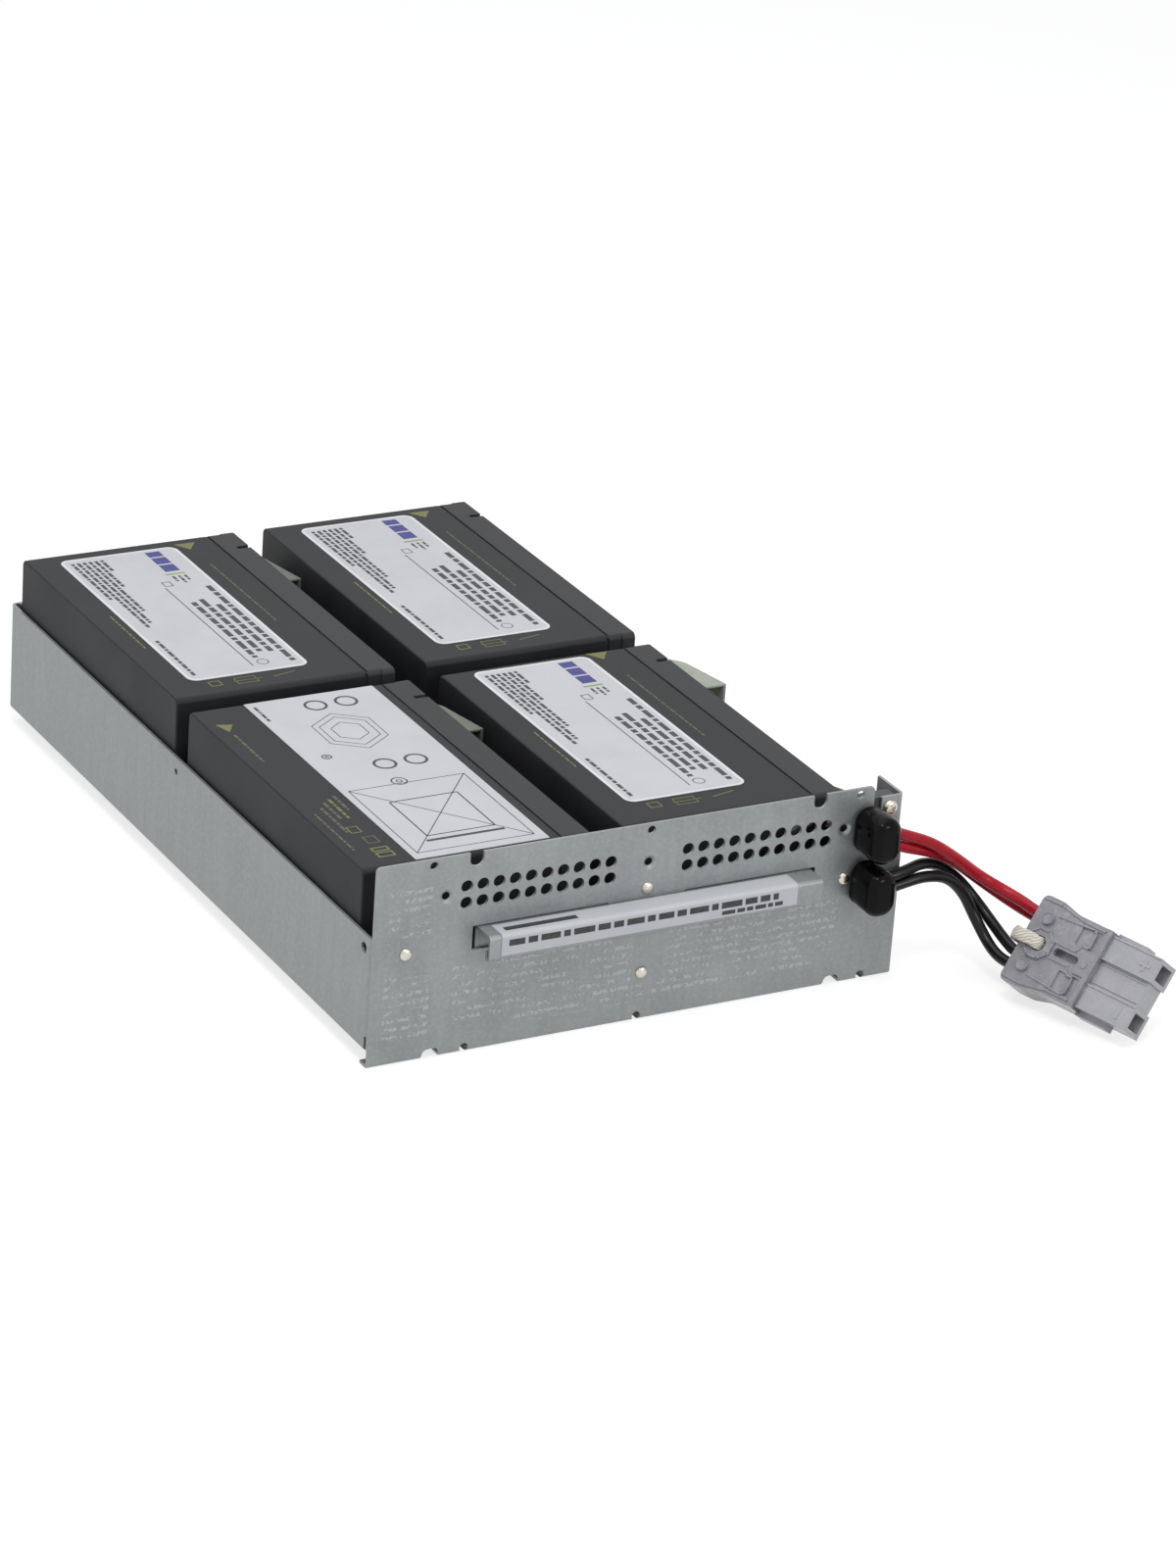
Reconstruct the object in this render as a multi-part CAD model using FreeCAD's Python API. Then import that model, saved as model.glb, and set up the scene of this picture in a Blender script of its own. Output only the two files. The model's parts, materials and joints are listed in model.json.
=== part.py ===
"""UPS battery cartridge: four sealed batteries in a folded steel tray, with a punched front
plate, a pull handle, two booted studs and a plug on four leads.

Millimetres. Everything is built from the lower left corner of the front plate's face, with
X to the right, Y towards the back and Z up, and moved to the reference point on export:
the middle of the footprint, at the height of the plate's foot."""

import FreeCAD, Part  # noqa: E401

import math
import os

# --- sheet metal -----------------------------------------------------------------------
sheet = 1.2
bend = 1.0                      # inside radius of a fold
relief = 1.1                    # width of the slots that free a fold's ends
fit_gap = 0.3                   # clearance round a piece that passes through another
corner_flats = 3                # flats round a right-angled corner
round_sides = 8                 # flats round a small bar or hole
hidden_sides = 6                # flats round a small bar inside the tray
wire_sides = 5                  # flats round a wire or lead
past = 1.0                      # how far a cutter or a joining piece runs past a face

# --- batteries -------------------------------------------------------------------------
battery_length = 151.0
battery_height = 94.0           # across the tray, because the batteries lie on their sides
battery_depth = 65.0            # upright, as they lie
battery_fillet = 2.2
lid_depth = 13.0
seam_width = 0.8
seam_depth = 0.6
lid_step = 6.5                  # from the seam to the lid's proud outer half
lid_proud = 0.6
lid_face_inset = 0.8            # the lid's flat below its vent strip
notch_width = 5.5
notch_length = 2.4
notch_depth = 1.5
notch_from_end = 17.0
strip_depth = 20.0
strip_length = 62.0
terminal_from_front = 33.0
terminal_rise = 54.0            # above the battery's underside
well_length = 22.0
well_height = 12.0
well_depth = 3.5
blade_width = 6.35
blade_thickness = 0.8
blade_reach = 4.4               # past the lid's flat
foot_height = 4.0
label_width = 51.4
label_length = 128.8
label_thickness = 0.2
pad_thickness = 1.2
pad_margin = 9.0

# --- tray ------------------------------------------------------------------------------
side_clearance = 0.7
column_gap = 13.2
row_gap = 11.0
right_channel = 17.7
front_gap = 13.5
rear_gap = 3.9
foot_drop = 5.6                 # the plate's foot hangs this far below the tray
wall_height = 45.9
rear_return = 12.0
left_flange = 21.2
right_flange = 32.0
web_clearance = 3.6             # from the handle's web down to the tray's upstand
tongue_down = 20.6              # below the plate's top edge
tongue_width = 24.0
bracket_lip = 9.8
bracket_length = 19.0
bracket_down = 5.7              # below the plate's top edge
pilot_radius = 1.25
pilot_height = 45.7
tooling_radius = 2.0
tooling_height = 46.2
tooling_from_front = 7.3
slot_top = 11.9

# --- front plate -----------------------------------------------------------------------
plate_height = 80.6
plate_corner = 1.8
plate_return = 6.0
step_down = 28.6                # where the plate's right end steps in
step_width = 14.1
pattern_shift = 1.35            # the punched pattern sits a little right of the middle
vent_radius = 2.4
vent_pitch = 6.58
vent_columns = 10
vent_sides = 8
vent_rows_down = (19.6, 13.0)    # below the plate's top edge
vent_group_offset = 45.85
top_notch_offset = 72.0
top_notch_width = 5.7
top_notch_depth = 5.4
top_hole_offset = 89.4
top_hole_radius = 1.65
top_hole_down = 2.6
screw_hole_offset = 83.6
screw_hole_radius = 1.6
screw_hole_down = 15.8
window_inner = 16.05            # from the pattern's middle to each window's near side
window_outer = 72.1
window_floor_down = 39.2        # below the plate's top edge
window_over_shelf = 0.5
foot_notch_offset = 85.1
foot_notch_width = 6.4
foot_notch_top = 3.8
foot_notch_corner = 2.6
foot_hole_radius = 1.8
foot_hole_places = (-71.5, 0.6, 97.7)

# --- pull handle -----------------------------------------------------------------------
handle_reach = 10.0
handle_down = 30.0              # below the plate's top edge
lip_height = 10.2
hem_height = 3.5
hem_depth = 3.4
web_drop = 16.0
handle_margin = 2.0             # from the window's outer side to the handle's end
sticker_left = 47.1
sticker_right = 171.3
sticker_thickness = 0.2
sticker_margin = 1.0

# --- rivets and screw ------------------------------------------------------------------
rivet_head_radius = 2.5
rivet_dome = ((1.25, 1.4), (2.25, 0.85), (rivet_head_radius, 0.0))    # radius, rise
rivet_shank_radius = 1.6
rivet_tail_radius = 2.2
rivet_tail = 0.9
side_rivet_height = 44.2
side_rivet_left = 13.3
side_rivet_right = 24.4         # in from the plate's right edge
low_rivet_down = 11.2            # below the upstand's top edge
high_rivet_down = 26.2           # below the plate's top edge
bracket_screw_inset = 6.2
bracket_screw_down = 4.5        # below the bracket's top
screw_head_radius = 3.0
screw_top_radius = 2.4
screw_head_height = 2.0
screw_shank_radius = 1.45

# --- studs, lugs and boots -------------------------------------------------------------
stud_inset = 16.8               # from the plate's right edge
stud_radius = 2.0
stud_clearance = 0.1
upper_stud_down = 16.4          # below the plate's top edge
stud_spacing = 24.0
upper_lug_tilt = -22.0
lower_lug_tilt = 10.0
block_thickness = 6.0
block_left = 22.0               # from the plate's right edge to the block's left side
block_below = 6.6               # below the lower stud
block_above = 10.2              # above the upper stud
block_corner = 1.5
collar_radius = 3.4
collar_reach = 2.15             # how far the collars stand out of the plate
stud_slot_corner = 3.3
lug_plate = 0.8
lug_ring_radius = 4.1
lug_neck_half = 3.5
barrel_start = 4.7              # from the stud's axis
barrel_end = 9.6
barrel_depth = 5.7
barrel_height = 10.2
barrel_corner = 2.6
nut_flats = 7.0
nut_sides = 6
nut_height = 3.2
stud_past_nut = 1.8
bolt_head_radius = 3.5
bolt_tip_radius = 2.45
bolt_head_side = 1.96           # height of the head's straight side
bolt_head_height = 2.8
rear_barrel_radius = 2.6
rear_barrel_length = 7.0
rear_barrel_offset = 8.3        # sideways from the stud's axis
boot_width = 12.4
boot_height = 17.0
boot_reach = 17.5
boot_mouth = 2.0                # in front of the plate, clear of a rivet head
boot_corner = 3.5
boot_wall = 1.2
upper_boot_rise = 1.1           # of a boot's middle above its stud
lower_boot_rise = 2.8

# --- push-on connectors and their covers -----------------------------------------------
connector_size = 7.8
connector_reach = 6.8
connector_thickness = 3.2
connector_lift = 1.0            # clear of the well's floor
crimp_radius = 2.0
crimp_length = 7.0
cover_wall = 1.0
cover_bottom = 5.0              # below the terminal's axis
low_cover_top = 4.5             # above it
hood_top = 10.2
low_cover_length = 18.0
low_cover_reach = 6.6
hood_front = 45.0               # from the battery's rear end
hood_rear = 14.0
hood_reach = 10.5
hood_shoulder = 5.5             # proud of the lid a little way up its slope
hood_shoulder_run = 6.0

# --- wires -----------------------------------------------------------------------------
wire_radius = 2.0
lead_radius = 2.25
lead_spacing = 0.2              # between the two leads of a barrel
lead_exit = 7.5                 # straight out of the barrel
lead_approach = 3.0             # straight into the plug
lead_bend_share = 0.45
harness_bend_share = 0.36
harness_exit = 11.8             # straight out of a connector's barrel
jumper_entry = 12.4             # straight into a jumper's far barrel

# --- plug ------------------------------------------------------------------------------
plug_corner_place = (259.4, -30.8, 0.4)
plug_heading = -70.13
plug_lean = 51.5
plug_turn = -2.6
plug_width = 36.9
plug_body_length = 34.5
plug_length = 58.0
plug_thickness = 15.2
plug_rim = 0.8                  # lug, rib and borders stand this proud
plug_waist = 2.0
plug_waist_start = 9.7
plug_corner = 2.5
plug_shoulder = 9.0
plug_waist_round = 12.0
rib_length = 2.2
rib_foot = 0.6
tongue_bottom = 1.6
tongue_thickness = 12.4
middle_tongue_thickness = 11.0
middle_tongue_setback = 1.2
tongue_edges = ((3.2, 13.2), (23.7, 33.7))
ear_length = 14.0
ear_width = 2.2
ear_stands_in = 1.0
ear_bottom = 3.0
pocket_size = 11.4
pocket_corner = 2.0
pocket_depth = 5.0
pocket_centres = (9.8, 27.1)
socket_width = 6.4
socket_height = 8.4
socket_depth = 18.0
contact_thickness = 2.4
contact_length = 13.0
contact_nose = 1.5
contact_nose_height = 0.8
lug_place = (8.4, 18.5)
lug_across = 12.0
lug_hole_radius = 3.0
boss_places = ((6.9, 28.5), (6.9, 8.5))
boss_radius = 2.35
boss_rise = 1.3
octagon_sides = 8
slot_start = 15.5
slot_length = 11.5
slot_width = 3.3
slot_corner = 1.5
slot_depth = 4.0
tab_centre = 30.2
tab_length = 5.2
tab_width = 9.0
tab_button_radius = 1.7
tab_button_rise = 1.2
side_panel_depth = 0.8
side_panel_length = 9.3
side_panel_width = 8.0
side_panel_gap = 1.2
mark_centre = 52.4
mark_length = 5.0
mark_width = 1.2
mark_rise = 0.4
tie_width = 5.2
tie_thickness = 1.8
tie_behind = 2.5
tie_outer_corner = 2.2

# --- worked out from the sizes above ---------------------------------------------------
window_floor = plate_height - window_floor_down
handle_top = plate_height - handle_down
upstand_top = handle_top - web_drop - web_clearance
tongue_top = plate_height - tongue_down
tongue_rivet_heights = (upstand_top - low_rivet_down, plate_height - high_rivet_down)
vent_rows = tuple(plate_height - down for down in vent_rows_down)
top_notch_floor = plate_height - top_notch_depth
top_hole_height = plate_height - top_hole_down
screw_hole_height = plate_height - screw_hole_down
step_height = plate_height - step_down
bracket_top = plate_height - bracket_down
bracket_screw_height = bracket_top - bracket_screw_down
upper_stud_height = plate_height - upper_stud_down
lower_stud_height = upper_stud_height - stud_spacing
block_bottom = lower_stud_height - block_below
block_top = upper_stud_height + block_above
upper_boot_height = upper_stud_height + upper_boot_rise
lower_boot_height = lower_stud_height + lower_boot_rise
tray_width = (2 * sheet + side_clearance + 2 * battery_height
              + column_gap + right_channel)
middle = tray_width / 2 + pattern_shift
flange_back = 2 * sheet
front_row = sheet + front_gap
rear_row = front_row + battery_length + row_gap
tray_back = rear_row + battery_length + rear_gap + 2 * sheet
wall_top = foot_drop + wall_height
floor_top = foot_drop + sheet
battery_bottom = floor_top + pad_thickness
battery_top = battery_bottom + battery_depth
left_column = sheet + side_clearance
right_column = left_column + battery_height + column_gap
terminal_height = battery_bottom + terminal_rise
stud_x = tray_width - stud_inset
lug_face = -collar_reach
nut_face = lug_face - lug_plate
block_back = flange_back + block_thickness
wire_lane = crimp_radius + fit_gap       # a connector's axis past the battery's lid
left_lane = left_column + battery_height + wire_lane
right_lane = right_column + battery_height + wire_lane
overall_length = tray_back + boot_reach
origin = FreeCAD.Vector(tray_width / 2, overall_length / 2 - boot_reach, 0)

batteries = {
    "front_left": (left_column, front_row),
    "front_right": (right_column, front_row),
    "back_left": (left_column, rear_row),
    "back_right": (right_column, rear_row),
}
low_backed = "back_right"       # no hood stands out behind its rear terminal
label_corners = {
    "front_left": (22.0, 1.6, 55.0, 147.8),
    "front_right": (11.9, 18.6, label_width, label_length),
    "back_left": (12.2, 14.6, label_width, label_length),
    "back_right": (12.8, 14.9, label_width, label_length),
}

# --- routes of the wires and leads, chosen by hand --------------------------------------
# The plug's leads leave a lug barrel, drop beside the tray and turn back into the plug.
lead_routes = {
    "upper_red_lead": [(232.4, -5.4, 55.6), (243.8, -6.4, 47.4), (255.0, -5.6, 38.2),
                       (262.6, -11.2, 33.6), (266.7, -18.4, 31.6)],
    "lower_red_lead": [(233.2, -2.0, 50.8), (245.4, -1.0, 44.6), (257.9, 0.2, 34.4),
                       (265.8, -5.2, 28.4), (269.8, -15.2, 26.0)],
    "upper_black_lead": [(231.0, -1.8, 46.2), (241.2, 1.2, 42.0), (250.6, 1.9, 34.4),
                         (256.8, -2.6, 26.0), (259.4, -11.2, 20.0), (259.6, -20.0, 17.1)],
    "lower_black_lead": [(230.6, -4.8, 41.8), (240.9, -4.4, 39.8), (248.6, -5.0, 32.4),
                         (253.0, -7.4, 22.8), (255.0, -14.6, 15.1), (255.5, -21.8, 12.0)],
}
lead_starts = {
    "upper_red_lead": (upper_stud_height, upper_lug_tilt, 1),
    "lower_red_lead": (upper_stud_height, upper_lug_tilt, -1),
    "upper_black_lead": (lower_stud_height, lower_lug_tilt, 1),
    "lower_black_lead": (lower_stud_height, lower_lug_tilt, -1),
}
# where each lead ends in its pocket: across the plug and up from its back face
lead_ends = {
    "upper_red_lead": (29.6, 10.4),
    "lower_red_lead": (28.2, 5.4),
    "upper_black_lead": (12.3, 7.8),
    "lower_black_lead": (7.5, 7.4),
}
# Each battery wire runs from a rear terminal to a stud; each jumper joins two batteries of a
# string. A stud's lug points back along the tray's side or to the left, along the plate.
# A corner is given by the place that each of its distances is measured from.
across_from = {"left": left_lane, "right": right_lane, "stud": stud_x, "wall": tray_width}
along_from = {"front": front_row, "rear": rear_row}
up_from = {"floor": battery_bottom, "terminal": terminal_height,
           "lower": lower_stud_height, "upper": upper_stud_height}
wire_routes = {
    "front_right_wire": (("front_right", "rear"), ("lower", "back", 25.8), [
        ("right", 6.0, "front", 69.3, "terminal", -11.0)]),
    "back_right_wire": (("back_right", "rear"), ("upper", "back", 17.8), [
        ("right", 4.6, "rear", 59.3, "floor", 32.0),
        ("right", 6.6, "rear", 3.3, "floor", 20.5),
        ("right", 8.1, "front", 100.3, "floor", 23.0),
        ("wall", -3.7, "front", 59.3, "terminal", -16.0)]),
    "front_left_wire": (("front_left", "rear"), ("lower", "left", 10.0), [
        ("left", 6.7, "front", 65.3, "terminal", -14.0),
        ("left", 6.4, "front", 17.3, "lower", 1.4),
        ("left", 7.2, "front", -6.5, "lower", 2.0),
        ("left", 31.8, "front", -8.9, "lower", 2.0),
        ("stud", -35.2, "front", -8.1, "lower", 0.2)]),
    "back_left_wire": (("back_left", "rear"), ("upper", "left", 11.0), [
        ("left", 5.8, "rear", 59.3, "floor", 33.0),
        ("left", 6.8, "rear", -0.7, "floor", 12.0),
        ("left", 6.4, "front", 85.3, "floor", 9.6),
        ("left", 6.6, "front", 17.3, "floor", 10.2),
        ("left", 7.2, "front", -6.3, "floor", 10.0),
        ("left", 36.8, "front", -5.9, "floor", 11.0),
        ("stud", -49.2, "front", -2.9, "lower", -8.2),
        ("stud", -36.2, "front", -3.1, "upper", -11.2)]),
}
jumper_routes = {
    "right_jumper": ("back_right", "front_right", [
        ("right", 1.0, "rear", -18.7, "terminal", -13.5),
        ("right", 0.5, "front", 86.3, "terminal", -15.0)]),
    "left_jumper": ("back_left", "front_left", [
        ("left", 0.7, "rear", -18.7, "terminal", -13.5),
        ("left", 0.2, "front", 86.3, "terminal", -15.0)]),
}


def vec(x, y, z):
    return FreeCAD.Vector(x, y, z)


def on_plane(plane, level, a, b):
    """Point (a, b) of a plane: "xy", "xz" or "yz", at `level` along the third axis."""
    places = {"xy": (a, b, level), "xz": (a, level, b), "yz": (level, a, b)}
    return vec(*places[plane])


def normal(plane):
    return {"xy": vec(0, 0, 1), "xz": vec(0, 1, 0), "yz": vec(1, 0, 0)}[plane]


def rounding(before, at, after, radius):
    """Start, middle and end of the arc that rounds the corner `at`."""
    back = (before - at).normalize()
    ahead = (after - at).normalize()
    half = back.getAngle(ahead) / 2
    reach = radius / math.tan(half)
    inward = (back + ahead).normalize()
    middle_distance = radius / math.sin(half) - radius
    return at + back * reach, at + inward * middle_distance, at + ahead * reach


def rounded_path(points, radii):
    """Straight runs joined by tangent arcs."""
    edges = []
    leave = points[0]
    for before, at, after, radius in zip(points, points[1:], points[2:], radii):
        enter, mid, next_leave = rounding(before, at, after, radius)
        edges.append(Part.LineSegment(leave, enter).toShape())
        edges.append(Part.Arc(enter, mid, next_leave).toShape())
        leave = next_leave
    edges.append(Part.LineSegment(leave, points[-1]).toShape())
    return Part.Wire(edges)


def flats(before, at, after, radius):
    """Points round a corner: even chords of its arc, with flats that stay few."""
    enter, mid, leave = rounding(before, at, after, radius)
    arc = Part.Arc(enter, mid, leave)
    turn = math.pi - (before - at).getAngle(after - at)
    count = max(2, round(corner_flats * turn / (math.pi / 2)))
    first, last = arc.FirstParameter, arc.LastParameter
    return [arc.value(first + (last - first) * i / count) for i in range(count + 1)]


def panel(plane, level, depth, outline):
    """Solid with an outline of (a, b, corner radius), `depth` deep from `level`."""
    corners = [on_plane(plane, level, a, b) for a, b, _ in outline]
    points = []
    for i, (_, _, radius) in enumerate(outline):
        following = corners[(i + 1) % len(corners)]
        if radius > 0:
            points.extend(flats(corners[i - 1], corners[i], following, radius))
        else:
            points.append(corners[i])
    wire = Part.makePolygon(points + points[:1])
    return Part.Face(wire).extrude(normal(plane) * depth)


def rectangle(a0, a1, b0, b1, radius=0):
    return [(a0, b0, radius), (a1, b0, radius), (a1, b1, radius), (a0, b1, radius)]


def block(x0, x1, y0, y1, z0, z1):
    return Part.makeBox(x1 - x0, y1 - y0, z1 - z0, vec(x0, y0, z0))


def ring_of_points(plane, level, a, b, radius, sides):
    """Corners of an even polygon, with a flat at the bottom."""
    turns = [math.tau * (i + 0.5) / sides - math.pi / 2 for i in range(sides)]
    return [on_plane(plane, level, a + radius * math.cos(turn), b + radius * math.sin(turn))
            for turn in turns]


def rod(plane, a, b, level, depth, radius, sides=None):
    """Small round bar along the plane's normal, drawn with flats inside its circle."""
    return stack(plane, a, b, [(radius, level), (radius, level + depth)], sides)


def bore(plane, a, b, level, depth, radius, sides=None):
    """Cutter for a small round hole, drawn with flats outside its circle."""
    sides = sides or round_sides
    outer = radius / math.cos(math.pi / sides)
    return stack(plane, a, b, [(outer, level), (outer, level + depth)], sides)


def stack(plane, a, b, profile, sides=None):
    """Turned piece along the plane's normal; profile is (radius, level) from end to end."""
    sides = sides or round_sides
    rings = []
    for radius, level in profile:
        points = ring_of_points(plane, level, a, b, radius, sides)
        rings.append(Part.makePolygon(points + points[:1]))
    return Part.makeLoft(rings, True, True)


def folded(plane, level, depth, path, thickness, inside):
    """Folded strip: `path` runs along one face with the metal on its left."""
    points = [FreeCAD.Vector(a, b, 0) for a, b in path]
    runs = [(b - a).normalize() for a, b in zip(points, points[1:])]
    lefts = [vec(-run.y, run.x, 0) for run in runs]
    near = [(points[0], 0)]
    far = [(points[0] + lefts[0] * thickness, 0)]
    for point, left, next_left, run, next_run in zip(
            points[1:], lefts, lefts[1:], runs, runs[1:]):
        towards_metal = run.cross(next_run).z > 0
        shift = (left + next_left) * (thickness / (1 + left.dot(next_left)))
        near.append((point, inside + thickness if towards_metal else inside))
        far.append((point + shift, inside if towards_metal else inside + thickness))
    near.append((points[-1], 0))
    far.append((points[-1] + lefts[-1] * thickness, 0))
    outline = [(point.x, point.y, radius) for point, radius in near + far[::-1]]
    return panel(plane, level, depth, outline)


def export(name, *solids):
    """Move the solids to the reference point and write them as one sub-part."""
    shape = solids[0] if len(solids) == 1 else Part.makeCompound(list(solids))
    shape = shape.copy()
    shape.translate(-origin)
    if not shape.isValid():
        raise ValueError(f"{name} is not valid")
    shape.exportStep(f"parts/{name}.step")


# --- tray ------------------------------------------------------------------------------
def tray_walls():
    """Side walls in plan, each with a flange behind the plate and a return at the back."""
    low = foot_drop + sheet
    left = [(rear_return, tray_back), (0, tray_back), (0, sheet), (left_flange, sheet)]
    right = [(tray_width - right_flange, sheet), (tray_width, sheet),
             (tray_width, tray_back), (tray_width - rear_return, tray_back)]
    walls = [folded("xy", low, wall_top - low, path, sheet, bend) for path in (left, right)]
    lip = [(tray_width - bracket_lip, sheet), (tray_width, sheet), (tray_width, bracket_length)]
    bracket = folded("xy", wall_top - bend, bracket_top - wall_top + bend, lip, sheet, bend)
    return walls[0].fuse([walls[1], bracket])


def tray_floor():
    """Floor with its front upstand, tongue and back wall, between the side walls' folds."""
    side = [(0, wall_top), (0, foot_drop), (tray_width, foot_drop), (tray_width, wall_top)]
    trough_front = flange_back + relief
    trough = folded("xz", trough_front, tray_back - 2 * sheet - relief - trough_front,
                    side, sheet, bend)
    inset = sheet + bend + relief
    back = tray_back - sheet
    back_wall = [(back / 2, foot_drop), (back, foot_drop), (back, wall_top)]
    upstand = [(sheet, upstand_top), (sheet, foot_drop), (back / 2, foot_drop)]
    front_left = left_flange + relief
    front_width = tray_width - right_flange - relief - front_left
    tongue = panel("xz", sheet, sheet, rectangle(
        middle - tongue_width / 2, middle + tongue_width / 2,
        upstand_top - bend, tongue_top, 0))
    return trough.fuse([
        folded("yz", inset, tray_width - 2 * inset, back_wall, sheet, bend),
        folded("yz", front_left, front_width, upstand, sheet, bend),
        tongue])


def tray_cuts():
    """Relief slots, pilot and tooling holes, and the holes that the front pieces need."""
    cuts = []
    middle_of_gap = rear_row - row_gap / 2
    for x in (0, tray_width - sheet):
        near = x - sheet
        wide = 3 * sheet
        cuts.append(bore("yz", middle_of_gap, pilot_height, near, wide, pilot_radius))
        cuts.append(bore("yz", tooling_from_front, tooling_height, near, wide, tooling_radius))
        cuts.append(block(near, near + wide, flange_back, flange_back + relief,
                          foot_drop - sheet, slot_top))
    for x, z in rivet_places():
        cuts.append(bore("xz", x, z, 0, 3 * sheet, rivet_shank_radius))
    cuts.append(bore("xz", tray_width - bracket_screw_inset, bracket_screw_height,
                    0, 3 * sheet, screw_shank_radius))
    cuts.append(bore("xz", stud_x, lower_stud_height, 0, 3 * sheet, collar_radius + fit_gap))
    return cuts


def make_tray():
    tray = tray_walls().fuse(tray_floor()).cut(tray_cuts()).removeSplitter()
    export("tray", tray)


# --- front plate -----------------------------------------------------------------------
def vent_cuts():
    first = -(vent_columns - 1) / 2 * vent_pitch
    centres = [middle + side * vent_group_offset for side in (-1, 1)]
    return [bore("xz", centre + first + column * vent_pitch, row, -sheet, 3 * sheet,
                 vent_radius, vent_sides)
            for centre in centres for row in vent_rows for column in range(vent_columns)]


def window_spans():
    return ((middle - window_outer, middle - window_inner),
            (middle + window_inner, middle + window_outer))


def plate_openings():
    """Windows for the handle, notches along the edges and the fixing holes."""
    cuts = []
    wide = 3 * sheet
    window_top = handle_top + window_over_shelf
    for left, right in window_spans():
        cuts.append(panel("xz", -sheet, wide, rectangle(
            left, right, window_floor, window_top)))
    for side in (-1, 1):
        notch = middle + side * top_notch_offset
        half = top_notch_width / 2
        cuts.append(bore("xz", notch, top_notch_floor + half, -sheet, wide, half))
        cuts.append(block(notch - half, notch + half, -sheet, wide,
                          top_notch_floor + half, plate_height + sheet))
        screw = middle + side * screw_hole_offset
        cuts.extend(screw_hole(screw))
        cuts.append(foot_notch(tray_width / 2 + side * foot_notch_offset))
    cuts.extend(screw_hole(middle))
    for place in (-1, 0, 1):
        cuts.append(bore("xz", middle + place * top_hole_offset, top_hole_height,
                        -sheet, wide, top_hole_radius))
    return cuts


def screw_hole(x):
    """Clearance hole for a fixing screw, truly round because it is an interface."""
    return [Part.makeCylinder(screw_hole_radius, 3 * sheet, vec(x, -sheet, screw_hole_height),
                              vec(0, 1, 0))]


def foot_notch(x):
    half = foot_notch_width / 2
    depth = plate_return + 2 * sheet
    return panel("xz", -sheet, depth, [
        (x - half - sheet, -sheet, 0), (x + half + sheet / 2, -sheet, 0),
        (x + half, foot_notch_top, foot_notch_corner),
        (x - half, foot_notch_top, foot_notch_corner)])


def stud_cuts():
    """A hole for the lower collar, and a slot open to the plate's step for the upper one."""
    radius = collar_radius + fit_gap
    slot = rectangle(stud_x - radius, tray_width, upper_stud_height - radius,
                     upper_stud_height + radius, stud_slot_corner)
    return [bore("xz", stud_x, lower_stud_height, -sheet, 3 * sheet, radius),
            panel("xz", -sheet, 3 * sheet, slot)]


def make_front_plate():
    side = [(0, plate_height), (0, 0), (plate_return, 0)]
    blank = folded("yz", 0, tray_width, side, sheet, bend / 2)
    step_x = tray_width - step_width
    outline = [(0, 0, plate_corner), (tray_width, 0, plate_corner),
               (tray_width, step_height, plate_corner), (step_x, step_height, plate_corner / 2),
               (step_x, plate_height, plate_corner), (0, plate_height, plate_corner)]
    trimmed = blank.common(panel("xz", 0, plate_return, outline))
    cuts = vent_cuts() + plate_openings() + stud_cuts()
    cuts += [bore("xz", tray_width / 2 + x, foot_hole_radius, -sheet, plate_return + 2 * sheet,
                 foot_hole_radius) for x in foot_hole_places]
    cuts += [block(tray_width / 2 + x - foot_hole_radius / 2, tray_width / 2 + x
                   + foot_hole_radius / 2, -sheet, plate_return + sheet, -sheet,
                   foot_hole_radius) for x in foot_hole_places]
    cuts += [bore("xz", x, z, -sheet, 3 * sheet, rivet_shank_radius) for x, z in rivet_places()]
    export("front_plate", trimmed.cut(cuts))


# --- pull handle -----------------------------------------------------------------------
def make_handle():
    """Hemmed lip and shelf in front, with a turned-down web behind the plate at each window."""
    web_back = flange_back
    path = [(web_back, handle_top - web_drop), (web_back, handle_top),
            (-handle_reach, handle_top), (-handle_reach, handle_top - lip_height),
            (-handle_reach + hem_depth, handle_top - lip_height),
            (-handle_reach + hem_depth, handle_top - lip_height + hem_height)]
    left = window_spans()[0][0] + handle_margin
    right = window_spans()[1][1] - handle_margin
    channel = folded("yz", left, right - left, path, sheet, bend / 2)
    bridge = block(middle - window_inner - fit_gap, middle + window_inner + fit_gap,
                   -fit_gap, web_back + sheet, handle_top - web_drop - sheet,
                   handle_top + sheet)
    export("pull_handle", channel.cut(bridge))
    sticker_path = [(-fit_gap - sticker_margin, handle_top + sticker_thickness),
                    (-handle_reach - sticker_thickness, handle_top + sticker_thickness),
                    (-handle_reach - sticker_thickness, handle_top - lip_height + 2 * bend)]
    export("handle_label", folded("yz", sticker_left, sticker_right - sticker_left,
                                  sticker_path, sticker_thickness, bend / 2 + sheet))


# --- rivets and screw ------------------------------------------------------------------
def rivet_places():
    return [(side_rivet_left, side_rivet_height),
            (tray_width - side_rivet_right, side_rivet_height),
            (middle, tongue_rivet_heights[0]), (middle, tongue_rivet_heights[1])]


def rivet(x, z):
    """Domed head on the plate, shank through both sheets and a set tail behind."""
    head = stack("xz", x, z, [(radius, -rise) for radius, rise in rivet_dome])
    shank = rod("xz", x, z, 0, flange_back, rivet_shank_radius, hidden_sides)
    tail = stack("xz", x, z, [(rivet_tail_radius, flange_back),
                              (rivet_shank_radius, flange_back + rivet_tail)], hidden_sides)
    return head.fuse([shank, tail])


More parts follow.
